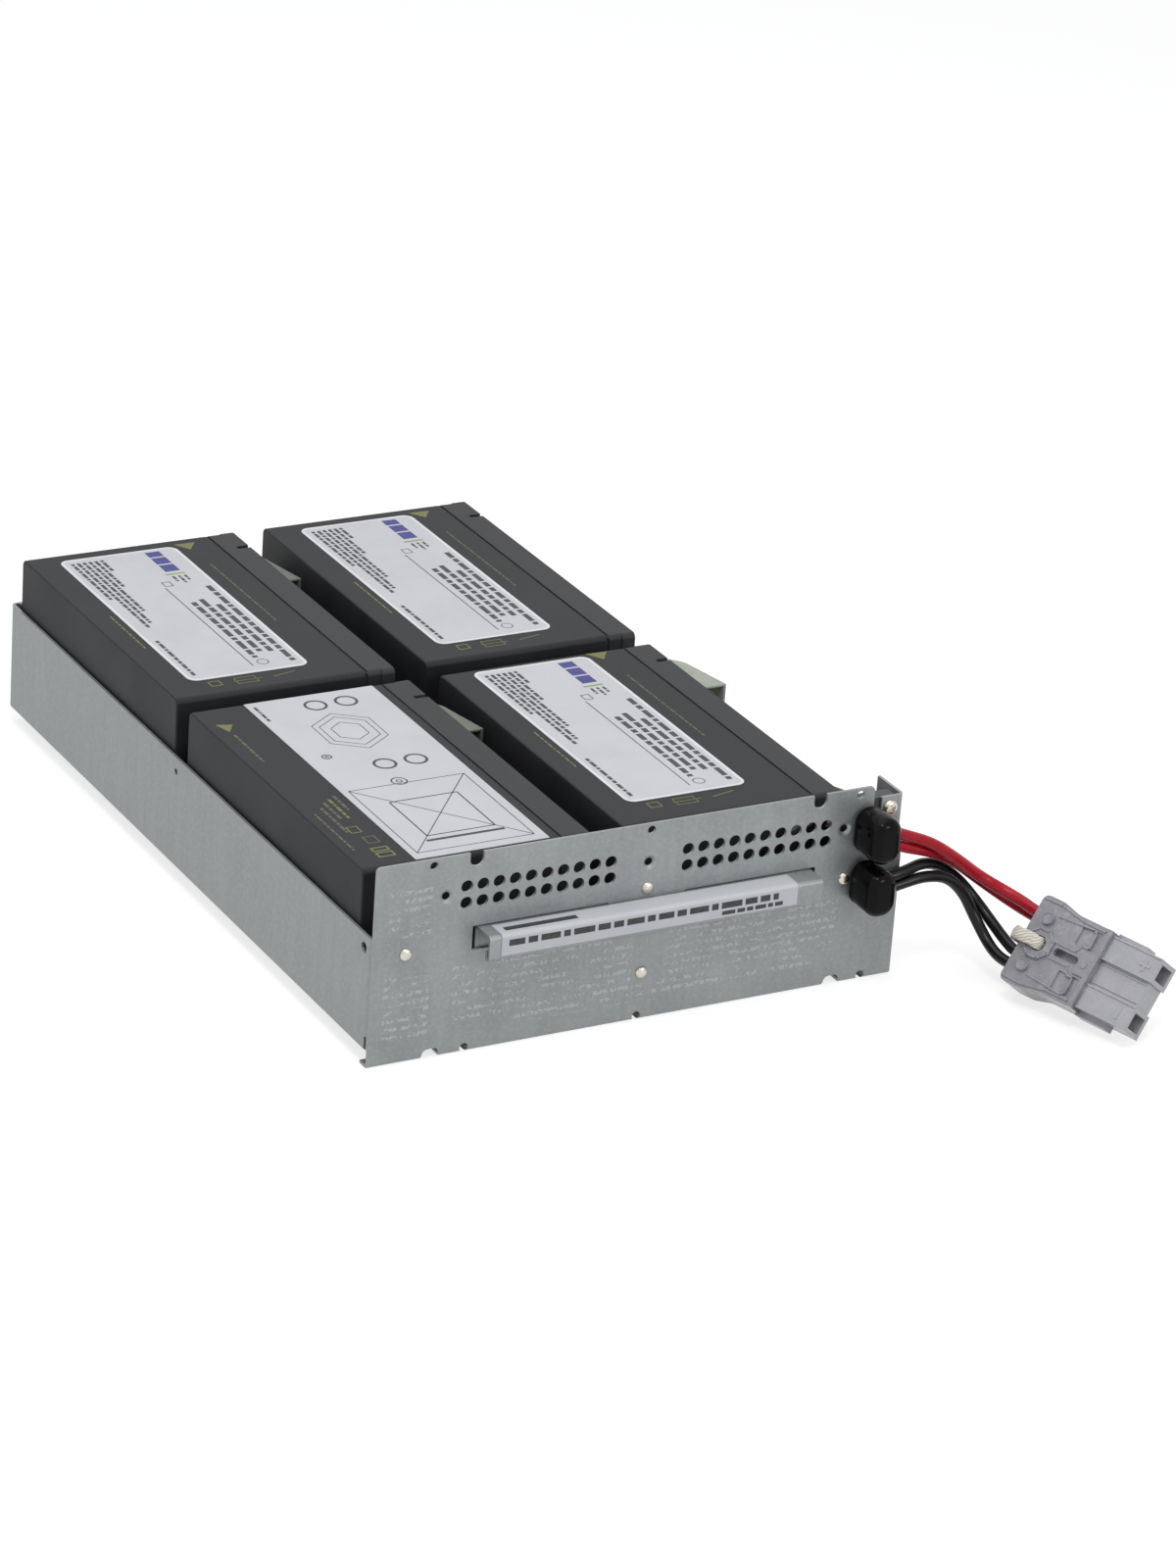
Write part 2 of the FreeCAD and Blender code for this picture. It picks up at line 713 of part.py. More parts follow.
def make_fasteners():
    export("plate_rivets", *[rivet(x, z) for x, z in rivet_places()])
    x = tray_width - bracket_screw_inset
    front = sheet - screw_head_height
    head = stack("xz", x, bracket_screw_height, [
        (screw_top_radius, front), (screw_head_radius, front + screw_head_height / 3),
        (screw_head_radius, sheet)])
    shank = rod("xz", x, bracket_screw_height, sheet, block_back - sheet, screw_shank_radius)
    export("bracket_screw", head.fuse(shank))


# --- batteries -------------------------------------------------------------------------
def battery_case(x, y):
    return panel("yz", x, battery_height - lid_depth, rectangle(
        y, y + battery_length, battery_bottom, battery_top, battery_fillet))


def lid_wells(x, y):
    """A recess round each terminal in the lid's flat."""
    face = x + battery_height - lid_face_inset
    half_length = well_length / 2
    low = terminal_height - well_height / 2
    return [panel("yz", face - well_depth, well_depth + sheet, rectangle(
        y + place - half_length, y + place + half_length, low, low + well_height))
        for place in terminal_places()]


def terminal_places():
    return (terminal_from_front, battery_length - terminal_from_front)


def battery_lid(x, y):
    """Lid with a seam groove, a stepped rim, terminal wells and a raised vent strip."""
    seam = x + battery_height - lid_depth
    step = seam + lid_step
    face = x + battery_height - lid_face_inset
    neck = panel("yz", seam, seam_width, rectangle(
        y + seam_depth, y + battery_length - seam_depth,
        battery_bottom + seam_depth, battery_top - seam_depth))
    inner = panel("yz", seam + seam_width, step - seam - seam_width, rectangle(
        y, y + battery_length, battery_bottom, battery_top, battery_fillet))
    outer = panel("yz", step, face - step, rectangle(
        y - lid_proud, y + battery_length + lid_proud, battery_bottom, battery_top,
        battery_fillet))
    strip = panel("yz", face, lid_face_inset, rectangle(
        y + (battery_length - strip_length) / 2, y + (battery_length + strip_length) / 2,
        battery_bottom + (battery_depth - strip_depth) / 2,
        battery_bottom + (battery_depth + strip_depth) / 2))
    notch_y = y + battery_length - notch_from_end
    notch = block(face - notch_width, face + sheet, notch_y - notch_length / 2,
                  notch_y + notch_length / 2, battery_top - notch_depth, battery_top + sheet)
    return neck.fuse([inner, outer, strip]).cut(lid_wells(x, y) + [notch])


def terminal_blade(x, y):
    """Bent tab: a foot on the well's floor and a blade that stands out of the lid."""
    floor = x + battery_height - lid_face_inset - well_depth
    tip = x + battery_height - lid_face_inset + blade_reach
    half = blade_thickness / 2
    path = [(floor, terminal_height - foot_height), (floor, terminal_height + half),
            (tip, terminal_height + half)]
    mirrored = [(a, b) for a, b in reversed(path)]
    return folded("xz", y - blade_width / 2, blade_width, mirrored, blade_thickness, 0)


def make_batteries():
    for name, (x, y) in batteries.items():
        export(f"{name}_case", battery_case(x, y))
        export(f"{name}_lid", battery_lid(x, y))
        blades = [terminal_blade(x, y + place) for place in terminal_places()]
        export(f"{name}_terminals", *blades)
        export(f"{name}_covers", *covers(name, x, y))
        left, front, width, length = label_corners[name]
        export(f"{name}_label", panel("xy", battery_top, label_thickness, rectangle(
            x + left, x + left + width, y + front, y + front + length)))
    export("foam_pads", *[
        block(x + pad_margin, x + battery_height - pad_margin, y + pad_margin,
              y + battery_length - pad_margin, floor_top, battery_bottom)
        for x, y in batteries.values()])


# --- covers and connectors -------------------------------------------------------------
def covers(name, x, y):
    """A low cap in front and a hood behind, except that `low_backed` has two caps."""
    front, rear = (y + place for place in terminal_places())
    front_way, rear_way = connector_ways(name)
    behind = low_cover(x, rear, rear_way) if name == low_backed else hood(x, y)
    return low_cover(x, front, front_way), behind


def low_cover(x, centre, way):
    """Shallow cap over a terminal, open at the side that its wire leaves by."""
    face = x + battery_height - lid_face_inset
    half = low_cover_length / 2
    low = terminal_height - cover_bottom
    high = terminal_height + low_cover_top
    shell = panel("yz", face, low_cover_reach, rectangle(
        centre - half, centre + half, low, high))
    shut = centre - way * (half - cover_wall)
    open_side = centre + way * (half + past)
    hollow = block(face - past, face + low_cover_reach - cover_wall, min(shut, open_side),
                   max(shut, open_side), low + cover_wall, high - cover_wall)
    return shell.cut(hollow)


def hood(x, y):
    """Wedge over the rear terminal that rises forward and is open at its front."""
    face = x + battery_height - lid_face_inset
    rear = y + battery_length - hood_rear
    front = y + battery_length - hood_front
    low = terminal_height - cover_bottom
    height = cover_bottom + hood_top
    shell = panel("xy", low, height, [
        (face, rear, 0), (face, front, 0), (face + hood_reach, front, 0),
        (face + hood_shoulder, rear - hood_shoulder_run, hood_shoulder_run)])
    hollow = panel("xy", low + cover_wall, height - 2 * cover_wall, [
        (face - past, rear - 2 * cover_wall, 0), (face - past, front - past, 0),
        (face + hood_reach - cover_wall, front - past, 0),
        (face + hood_reach - cover_wall, front, 0),
        (face + hood_shoulder - cover_wall, rear - hood_shoulder_run - cover_wall / 2,
         hood_shoulder_run)])
    return shell.cut(hollow)


def connector(x, y, way):
    """Flag connector pushed over a blade; its barrel points forward (-1) or back (1)."""
    face = x + battery_height - lid_face_inset
    inner = face - well_depth + connector_lift + blade_thickness
    half = connector_size / 2
    low = terminal_height - connector_thickness / 2
    body = block(inner, inner + connector_reach, y - half, y + half, low,
                 low + connector_thickness)
    blade = block(inner - past, face + blade_reach, y - blade_width / 2, y + blade_width / 2,
                  terminal_height - blade_thickness / 2, terminal_height + blade_thickness / 2)
    start = y + half if way > 0 else y - half - crimp_length
    barrel = stack("xz", connector_axis(x), terminal_height,
                   [(crimp_radius, start), (crimp_radius, start + crimp_length)], wire_sides)
    return body.fuse(barrel).cut(blade)


def connector_axis(x):
    """The barrel's axis stands just clear of the lid's raised strip."""
    return x + battery_height + wire_lane


def crimp_end(name, terminal):
    """Open end of a connector's barrel, where its wire starts, and the way it points."""
    x, y = batteries[name]
    near, far = terminal_places()
    near_way, far_way = connector_ways(name)
    place, way = (near, near_way) if terminal == "front" else (far, far_way)
    along = y + place + way * (connector_size / 2 + crimp_length)
    return vec(connector_axis(x), along, terminal_height), vec(0, way, 0)


def make_connectors():
    export("push_on_connectors", *[
        connector(x, y + place, way)
        for name, (x, y) in batteries.items()
        for place, way in zip(terminal_places(), connector_ways(name))])


def connector_ways(name):
    """Only a front battery's front connector is entered from behind."""
    return (1, -1) if name.startswith("front") else (-1, -1)


# --- terminal block, studs, lugs and boots ---------------------------------------------
def make_block():
    left = tray_width - block_left
    right = tray_width - sheet - bend
    body = panel("xz", flange_back, block_thickness, rectangle(
        left, right, block_bottom, block_top, block_corner))
    heights = (upper_stud_height, lower_stud_height)
    collars = [rod("xz", stud_x, z, lug_face, flange_back - lug_face, collar_radius)
               for z in heights]
    holes = [bore("xz", stud_x, z, lug_face - past, block_back - lug_face + 2 * past,
                  stud_radius + stud_clearance, hidden_sides) for z in heights]
    holes.append(bore("xz", tray_width - bracket_screw_inset, bracket_screw_height,
                     flange_back - past, block_thickness + 2 * past, screw_shank_radius))
    export("terminal_block", body.fuse(collars).cut(holes))


def hexagon(z):
    corner = nut_flats / 2 / math.cos(math.pi / nut_sides)
    points = ring_of_points("xz", 0, stud_x, z, corner, nut_sides)
    return [(point.x, point.z, 0) for point in points]


def make_studs():
    heights = (upper_stud_height, lower_stud_height)
    tip = nut_face - nut_height - stud_past_nut
    seat = block_back + 2 * lug_plate
    bolts = [rod("xz", stud_x, z, tip, seat - tip, stud_radius, hidden_sides).fuse(
        stack("xz", stud_x, z, [(bolt_head_radius, seat),
                                (bolt_head_radius, seat + bolt_head_side),
                                (bolt_tip_radius, seat + bolt_head_height)]))
        for z in heights]
    export("terminal_bolts", *bolts)
    nuts = [panel("xz", nut_face - nut_height, nut_height, hexagon(z)).cut(
        bore("xz", stud_x, z, nut_face - nut_height - past, nut_height + 2 * past,
             stud_radius, hidden_sides))
        for z in heights]
    export("terminal_nuts", *nuts)


def turned(shape, z, tilt):
    """Turn a shape about the stud's axis, so that +X goes up by `tilt` degrees."""
    shape.rotate(vec(stud_x, 0, z), vec(0, -1, 0), tilt)
    return shape


def lead_barrel(z, tilt, depth):
    """Crimp barrel of the front lug, `depth` deep from the lug's back face."""
    outline = rectangle(lug_face - depth, lug_face, z - barrel_height / 2,
                        z + barrel_height / 2, barrel_corner)
    barrel = panel("yz", stud_x + barrel_start, barrel_end - barrel_start, outline)
    return turned(barrel, z, tilt)


def lead_lug(z, tilt):
    ring = rod("xz", stud_x, z, nut_face, lug_plate, lug_ring_radius)
    neck = block(stud_x, stud_x + barrel_start + past, nut_face, lug_face,
                 z - lug_neck_half, z + lug_neck_half)
    hole = bore("xz", stud_x, z, nut_face - past, lug_plate + 2 * past,
                stud_radius + stud_clearance)
    return turned(ring.fuse(neck), z, tilt).fuse(lead_barrel(z, tilt, barrel_depth)).cut(hole)


def boot(centre, z, tilt):
    """Hollow boot over a stud, with a slot in its side that grips the lug's barrel."""
    half = boot_width / 2
    tall = boot_height / 2
    length = boot_reach - boot_mouth
    shell = panel("xz", -boot_reach, length, rectangle(
        stud_x - half, stud_x + half, centre - tall, centre + tall, boot_corner))
    inside = panel("xz", -boot_reach + boot_wall, length, rectangle(
        stud_x - half + boot_wall, stud_x + half - boot_wall, centre - tall + boot_wall,
        centre + tall - boot_wall, boot_corner - boot_wall))
    outline = rectangle(lug_face - barrel_depth, 0, z - barrel_height / 2,
                        z + barrel_height / 2, barrel_corner)
    slot = panel("yz", stud_x + barrel_start - 2 * boot_wall, barrel_end, outline)
    return shell.cut([inside, turned(slot, z, tilt)])


def rear_lug(z, towards_back):
    """Ring lug behind the block: its barrel points back along the side, or to the left."""
    if towards_back:
        seat = block_back + lug_plate
        barrel = rod("xz", stud_x + rear_barrel_offset, z, seat, rear_barrel_length,
                     rear_barrel_radius, hidden_sides)
        side = 1
    else:
        seat = block_back
        barrel = rod("yz", seat + rear_barrel_radius, z,
                     stud_x - barrel_start - rear_barrel_length, rear_barrel_length,
                     rear_barrel_radius, hidden_sides)
        side = -1
    ring = rod("xz", stud_x, z, seat, lug_plate, lug_ring_radius, hidden_sides)
    reach = rear_barrel_offset if towards_back else barrel_start + past
    ends = sorted((stud_x, stud_x + side * reach))
    neck = block(ends[0], ends[1], seat, seat + lug_plate, z - rear_barrel_radius,
                 z + rear_barrel_radius)
    hole = bore("xz", stud_x, z, seat - past, lug_plate + 2 * past,
                stud_radius + stud_clearance, hidden_sides)
    return ring.fuse([neck, barrel]).cut(hole)


def make_lugs_and_boots():
    export("upper_lead_lug", lead_lug(upper_stud_height, upper_lug_tilt))
    export("lower_lead_lug", lead_lug(lower_stud_height, lower_lug_tilt))
    export("upper_boot", boot(upper_boot_height, upper_stud_height, upper_lug_tilt))
    export("lower_boot", boot(lower_boot_height, lower_stud_height, lower_lug_tilt))
    export("battery_side_lugs", *[rear_lug(z, towards_back)
                                  for z in (upper_stud_height, lower_stud_height)
                                  for towards_back in (True, False)])


# --- wires and leads -------------------------------------------------------------------
def bend_radii(points, share):
    """Each bend takes up the same share of the shorter run beside it."""
    radii = []
    for before, at, after in zip(points, points[1:], points[2:]):
        turn = math.pi - (before - at).getAngle(after - at)
        shorter = min(before.distanceToPoint(at), at.distanceToPoint(after))
        radii.append(share * shorter / math.tan(turn / 2))
    return radii


def wire_section(start, along, radius):
    """Even polygon across the start of a wire."""
    turn = FreeCAD.Rotation(vec(0, 0, 1), along)
    corners = []
    for i in range(wire_sides):
        angle = math.tau * i / wire_sides
        corner = vec(radius * math.cos(angle), radius * math.sin(angle), 0)
        corners.append(start + turn.multVec(corner))
    return Part.makePolygon(corners + corners[:1])


def tube(name, points, radius, share):
    """Round tube along straight runs and tangent arcs; prints its length and bends."""
    radii = bend_radii(points, share)
    path = rounded_path(points, radii)
    section = wire_section(points[0], points[1] - points[0], radius)
    solid = path.makePipeShell([section], True, False)
    expected = Part.Face(section).Area * path.Length
    bends = " ".join(f"{bend_radius:.0f}" for bend_radius in radii)
    print(f"{name}: length {path.Length:.1f}, bends {bends}, "
          f"volume ratio {solid.Volume / expected:.4f}")
    return solid


def stud_end(which, direction):
    """Open end of a rear lug's barrel, and the way it points."""
    z = upper_stud_height if which == "upper" else lower_stud_height
    if direction == "back":
        along = block_back + lug_plate + rear_barrel_length
        return vec(stud_x + rear_barrel_offset, along, z), vec(0, 1, 0)
    across = stud_x - barrel_start - rear_barrel_length
    return vec(across, block_back + rear_barrel_radius, z), vec(-1, 0, 0)


def wire_points(start, start_way, between, finish, finish_way, entry):
    """A wire's corners: straight out of one barrel and straight into the other."""
    route = [vec(across_from[side] + x, along_from[row] + y, up_from[level] + z)
             for side, x, row, y, level, z in between]
    return ([start, start + start_way * harness_exit] + route
            + [finish + finish_way * entry, finish])


def make_harness():
    """Wires inside the tray: two strings of two batteries, side by side."""
    for name, (battery_end, (which, direction, entry), between) in wire_routes.items():
        start, start_way = crimp_end(*battery_end)
        finish, finish_way = stud_end(which, direction)
        points = wire_points(start, start_way, between, finish, finish_way, entry)
        export(name, tube(name, points, wire_radius, harness_bend_share))
    for name, (back_battery, front_battery, between) in jumper_routes.items():
        start, start_way = crimp_end(back_battery, "front")
        finish, finish_way = crimp_end(front_battery, "front")
        points = wire_points(start, start_way, between, finish, finish_way, jumper_entry)
        export(name, tube(name, points, wire_radius, harness_bend_share))


def lead_start(z, tilt, side):
    """Centre of a lead's end at the front lug's barrel, and the way it leaves."""
    along = vec(math.cos(math.radians(tilt)), 0, math.sin(math.radians(tilt)))
    across = vec(-along.z, 0, along.x) * (side * (lead_radius + lead_spacing / 2))
    depth = lug_face - barrel_depth / 2
    return vec(stud_x, depth, z) + along * barrel_end + across, along


def lead_points(name):
    start, along = lead_start(*lead_starts[name])
    pose = plug_pose()
    across, up = lead_ends[name]
    approach = pose.multVec(vec(-lead_approach, across, up))
    finish = pose.multVec(vec(pocket_depth, across, up))
    between = [vec(*place) for place in lead_routes[name]]
    return [start, start + along * lead_exit] + between + [approach, finish]


def make_leads():
    for name in lead_routes:
        export(name, tube(name, lead_points(name), lead_radius, lead_bend_share))


# --- plug ------------------------------------------------------------------------------
def plug_pose():
    """The plug lies on its lower back edge beside the tray, leaning back."""
    turn = FreeCAD.Rotation(vec(0, 0, 1), plug_heading)
    turn = turn.multiply(FreeCAD.Rotation(vec(1, 0, 0), plug_lean))
    turn = turn.multiply(FreeCAD.Rotation(vec(0, 0, 1), plug_turn))
    return FreeCAD.Placement(vec(*plug_corner_place), turn)


def placed(*solids):
    """Solids modelled along the plug (X), across it (Y) and up from its back face (Z)."""
    result = []
    for solid in solids:
        copy = solid.copy()
        copy.Placement = plug_pose().multiply(copy.Placement)
        result.append(copy)
    return result


def plug_outline():
    """Waisted body, symmetric about its long centre line."""
    half_length = plug_body_length / 2
    side = [(0, 0, plug_corner), (plug_waist_start, 0, plug_shoulder),
            (half_length, plug_waist, plug_waist_round), (plug_body_length, plug_waist, 0)]
    return side + [(along, plug_width - across, radius) for along, across, radius in side[::-1]]


def plug_body():
    body = panel("xy", 0, plug_thickness, plug_outline())
    rib = panel("xy", rib_foot, plug_thickness + plug_rim - rib_foot, rectangle(
        plug_body_length - rib_length, plug_body_length, plug_waist,
        plug_width - plug_waist))
    return body.fuse(rib)


def plug_front():
    """Two outer tongues with a lower one between them, and an ear at each side."""
    length = plug_length - plug_body_length + past
    back = plug_body_length - past
    parts = [panel("xy", tongue_bottom, tongue_thickness, rectangle(
        back, back + length, low, high)) for low, high in tongue_edges]
    parts.append(panel("xy", tongue_bottom, middle_tongue_thickness, rectangle(
        back, back + length - middle_tongue_setback,
        tongue_edges[0][1] - past, tongue_edges[1][0] + past)))
    for side in (ear_stands_in, plug_width - ear_stands_in - ear_width):
        parts.append(panel("xy", ear_bottom, tongue_thickness / 2, rectangle(
            back, back + ear_length, side, side + ear_width)))
    return parts


def plug_raised():
    """Octagonal lug, two bosses, the tab with its button, panel borders and end marks."""
    along, across = lug_place
    top = plug_thickness
    corner = lug_across / 2 / math.cos(math.pi / octagon_sides)
    raised = [stack("xy", along, across, [(corner, top - past), (corner, top + plug_rim)],
                    octagon_sides)]
    for boss_along, boss_across in boss_places:
        raised.append(rod("xy", boss_along, boss_across, top - past, boss_rise + past,
                          boss_radius))
    raised.append(panel("xy", top - past, plug_rim + past, rectangle(
        tab_centre - tab_length / 2, tab_centre + tab_length / 2,
        across - tab_width / 2, across + tab_width / 2)))
    raised.append(rod("xy", tab_centre, across, top, tab_button_rise, tab_button_radius))
    tongue_top = tongue_bottom + tongue_thickness
    marks = [sum(edges) / 2 for edges in tongue_edges]
    for mark in marks:
        raised.append(panel("xy", tongue_top - past, mark_rise + past, rectangle(
            mark_centre - mark_width / 2, mark_centre + mark_width / 2,
            mark - mark_length / 2, mark + mark_length / 2)))
    raised.append(panel("xy", tongue_top - past, mark_rise + past, rectangle(
        mark_centre - mark_length / 2, mark_centre + mark_length / 2,
        marks[1] - mark_width / 2, marks[1] + mark_width / 2)))
    return raised


def plug_cuts():
    """Rear pockets for the leads, front sockets, the tie's hole, slot and side panels."""
    cuts = []
    middle_up = plug_thickness / 2
    for centre in pocket_centres:
        cuts.append(panel("yz", -past, pocket_depth + past, rectangle(
            centre - pocket_size / 2, centre + pocket_size / 2,
            middle_up - pocket_size / 2, middle_up + pocket_size / 2, pocket_corner)))
    for low, high in tongue_edges:
        centre = (low + high) / 2
        start = plug_length - socket_depth
        floor = tongue_bottom + (tongue_thickness - socket_height) / 2
        cuts.append(panel("yz", start, socket_depth + past, rectangle(
            centre - socket_width / 2, centre + socket_width / 2,
            floor, floor + socket_height)))
    along, across = lug_place
    cuts.append(bore("xy", along, across, -past, plug_thickness + plug_rim + 2 * past,
                     lug_hole_radius))
    cuts.append(panel("xy", plug_thickness - slot_depth, slot_depth + past, rectangle(
        slot_start, slot_start + slot_length, across - slot_width / 2,
        across + slot_width / 2, slot_corner)))
    panel_end = plug_body_length - rib_length - side_panel_gap
    panel_start = panel_end - side_panel_length
    away = tab_width / 2 + side_panel_gap
    for near in (across - away - side_panel_width, across + away):
        cuts.append(panel("xy", plug_thickness - side_panel_depth, side_panel_depth + past,
                          rectangle(panel_start, panel_end, near, near + side_panel_width)))
    return cuts


def make_plug():
    housing = plug_body().fuse(plug_front() + plug_raised()).cut(plug_cuts())
    export("plug_housing", *placed(housing.removeSplitter()))
    floor = tongue_bottom + (tongue_thickness - socket_height) / 2
    tip = plug_length - socket_depth + contact_length
    contacts = [panel("xz", (low + high) / 2 - socket_width / 2 + fit_gap,
                      socket_width - 2 * fit_gap, [
                          (plug_length - socket_depth, floor, 0),
                          (tip - contact_nose, floor, 0),
                          (tip, floor + contact_nose_height, 0),
                          (tip - contact_nose, floor + contact_thickness, 0),
                          (plug_length - socket_depth, floor + contact_thickness, 0)])
                for low, high in tongue_edges]
    export("plug_contacts", *placed(*contacts))
    make_tie()


def make_tie():
    """Flat braid threaded through the lug's hole and round behind the plug."""
    along, across = lug_place
    top = plug_thickness + plug_rim
    outer = rectangle(-tie_behind - tie_thickness, along + tie_thickness / 2,
                      -tie_thickness, top + tie_thickness, tie_outer_corner)
    inner = rectangle(-tie_behind, along - tie_thickness / 2, 0, top)
    band = panel("xz", across - tie_width / 2, tie_width, outer).cut(
        panel("xz", across - tie_width, 2 * tie_width, inner))
    export("cord_tie", *placed(band))


if __name__ == "__main__":
    os.makedirs("parts", exist_ok=True)
    make_tray()
    make_front_plate()
    make_handle()
    make_fasteners()
    make_batteries()
    make_connectors()
    make_block()
    make_studs()
    make_lugs_and_boots()
    make_harness()
    make_leads()
    make_plug()
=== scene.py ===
"""Looks of the UPS battery cartridge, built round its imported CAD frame.

Sizes are millimetres from the lower left corner of the front plate's face (X right, Y back,
Z up), as in the part's source, and `at` turns them into metres in the frame."""

import json
import math

import bmesh
import bpy
from mathutils import Matrix, Vector


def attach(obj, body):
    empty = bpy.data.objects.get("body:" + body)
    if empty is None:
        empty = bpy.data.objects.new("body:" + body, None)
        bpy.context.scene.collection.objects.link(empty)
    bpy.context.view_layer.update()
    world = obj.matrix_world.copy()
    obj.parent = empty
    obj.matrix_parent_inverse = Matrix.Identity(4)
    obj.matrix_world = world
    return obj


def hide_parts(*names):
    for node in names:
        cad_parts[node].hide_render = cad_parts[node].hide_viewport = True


MM = 0.001
CORNER = Vector((111.0, 158.25, 0.0))      # from the plate's corner to the frame's origin
SMOOTH_BELOW = math.radians(38)            # edges flatter than this are shaded smooth
WELD = 2e-6                                # corners nearer than this, in metres, are one

# --- sizes shared with the part ----------------------------------------------------------
SHEET = 1.2
TRAY_WIDTH = 222.0
PLATE_HEIGHT = 80.6
PLATE_CORNER = 1.8
STEP_X, STEP_HEIGHT = 207.9, 52.0          # the plate's right end steps in to STEP_X above it
FOLD = 1.7                                 # outer radius of the fold along the plate's foot
FOOT_REACH = 6.0
PATTERN_MIDDLE = 112.35                    # of what is punched in the plate's face
VENT_RADIUS, VENT_PITCH, VENT_COLUMNS = 2.4, 6.58, 10
VENT_ROWS = (61.0, 67.6)
VENT_OFFSET = 45.85                        # from the pattern's middle to a group's middle
SCREW_OFFSET, SCREW_HEIGHT, SCREW_RADIUS = 83.6, 64.8, 1.6
TOP_HOLE_OFFSET, TOP_HOLE_HEIGHT, TOP_HOLE_RADIUS = 89.4, 78.0, 1.65
NOTCH_OFFSET, NOTCH_HALF, NOTCH_FLOOR = 72.0, 2.85, 75.2
WINDOW_INNER, WINDOW_OUTER = 16.05, 72.1
WINDOW_FLOOR, WINDOW_TOP = 41.4, 51.1
FOOT_NOTCH_OFFSET = 85.1                   # from the plate's own middle, as the foot's holes
FOOT_HOLES, FOOT_HOLE_RADIUS = (-71.5, 0.6, 97.7), 1.8
DIMPLE = ((3.3, -0.4), (3.0, 0.0), (2.5, 0.16), (1.55, 0.8))    # round a screw's hole
RIVETS = ((13.3, 44.2), (197.6, 44.2), (112.35, 19.8), (112.35, 54.4))
RIVET_RADIUS, RIVET_RISE = 2.5, 1.4
BRACKET_SCREW = (215.8, 70.4)
STUD_X, LOWER_STUD = 205.2, 40.2
COLLAR_HOLE = 3.7                          # radius in the plate, round a stud's collar
COLLAR_SLOT = (60.5, 67.9)                 # the upper collar's, open to the plate's right end
HANDLE_TOP, HANDLE_FRONT = 50.6, -10.0
STICKER_LEFT, STICKER_RIGHT, STICKER_FOOT = 47.1, 171.3, 42.4
BATTERY_TOP = 73.0
LABEL_RISE = 0.2
BATTERIES = {
    "front_left": (1.9, 14.7),
    "front_right": (109.1, 14.7),
    "back_left": (1.9, 176.7),
    "back_right": (109.1, 176.7),
}
LABELS = {                                 # corner and size within each battery
    "front_left": (22.0, 1.6, 55.0, 147.8),
    "front_right": (11.9, 18.6, 51.4, 128.8),
    "back_left": (12.2, 14.6, 51.4, 128.8),
    "back_right": (12.8, 14.9, 51.4, 128.8),
}

PLUG_CORNER = (259.4, -30.8, 0.4)
PLUG_HEADING, PLUG_LEAN, PLUG_TURN = -70.13, 51.5, -2.6
PLUG_MIDDLE = 18.5                         # across it
PLUG_SHOULDER = 34.8                       # where its body ends and the tongues start
PLUG_TOP, TONGUE_TOP = 15.2, 14.0
LUG_ALONG = 8.4                            # of the tie's hole, from the plug's back face

# --- sizes that only the looks have ------------------------------------------------------
BOOTS = {"upper_boot": (64.5, 18.8), "lower_boot": (42.6, 18.2)}      # middle and height
BOOT_WIDTH, BOOT_CORNER, BOOT_NOSE, BOOT_FRONT = 12.8, 5.9, 4.0, -17.5
HOOD_LEVEL = 71.0                          # only the hoods' tops reach above it
HOOD_DROPS = {"back_left": 4.0, "front_left": 3.0}
EMBOSSED_FIELDS = (                        # left, right, foot and top of each, on the plate
    (5.0, 24.0, 10.0, 36.0), (6.0, 23.0, 50.0, 70.0), (33.0, 108.0, 8.0, 36.0),
    (122.0, 196.0, 15.0, 38.0), (92.0, 186.0, 9.0, 15.0))
EMBOSSED_PITCH = 0.0034                    # from row to row, in metres
TIE_ROUTE = (                              # along and up from the plug's back face
    (9.0, 17.4), (4.0, 18.4), (-1.2, 18.5), (-4.6, 14.8), (-4.6, 8.6), (-4.6, 1.6),
    (-1.3, -2.1), (4.1, -1.6), (8.4, -1.7), (9.3, 1.5), (9.3, 8.6), (9.2, 15.0))
TIE_SIDES = 28
CAMERA_PLACE = (-828.0, -1582.7, 922.6)
CAMERA_YAW, CAMERA_PITCH, CAMERA_ROLL = 29.95, 24.22, 4.13
CAMERA_LENS = 126.89

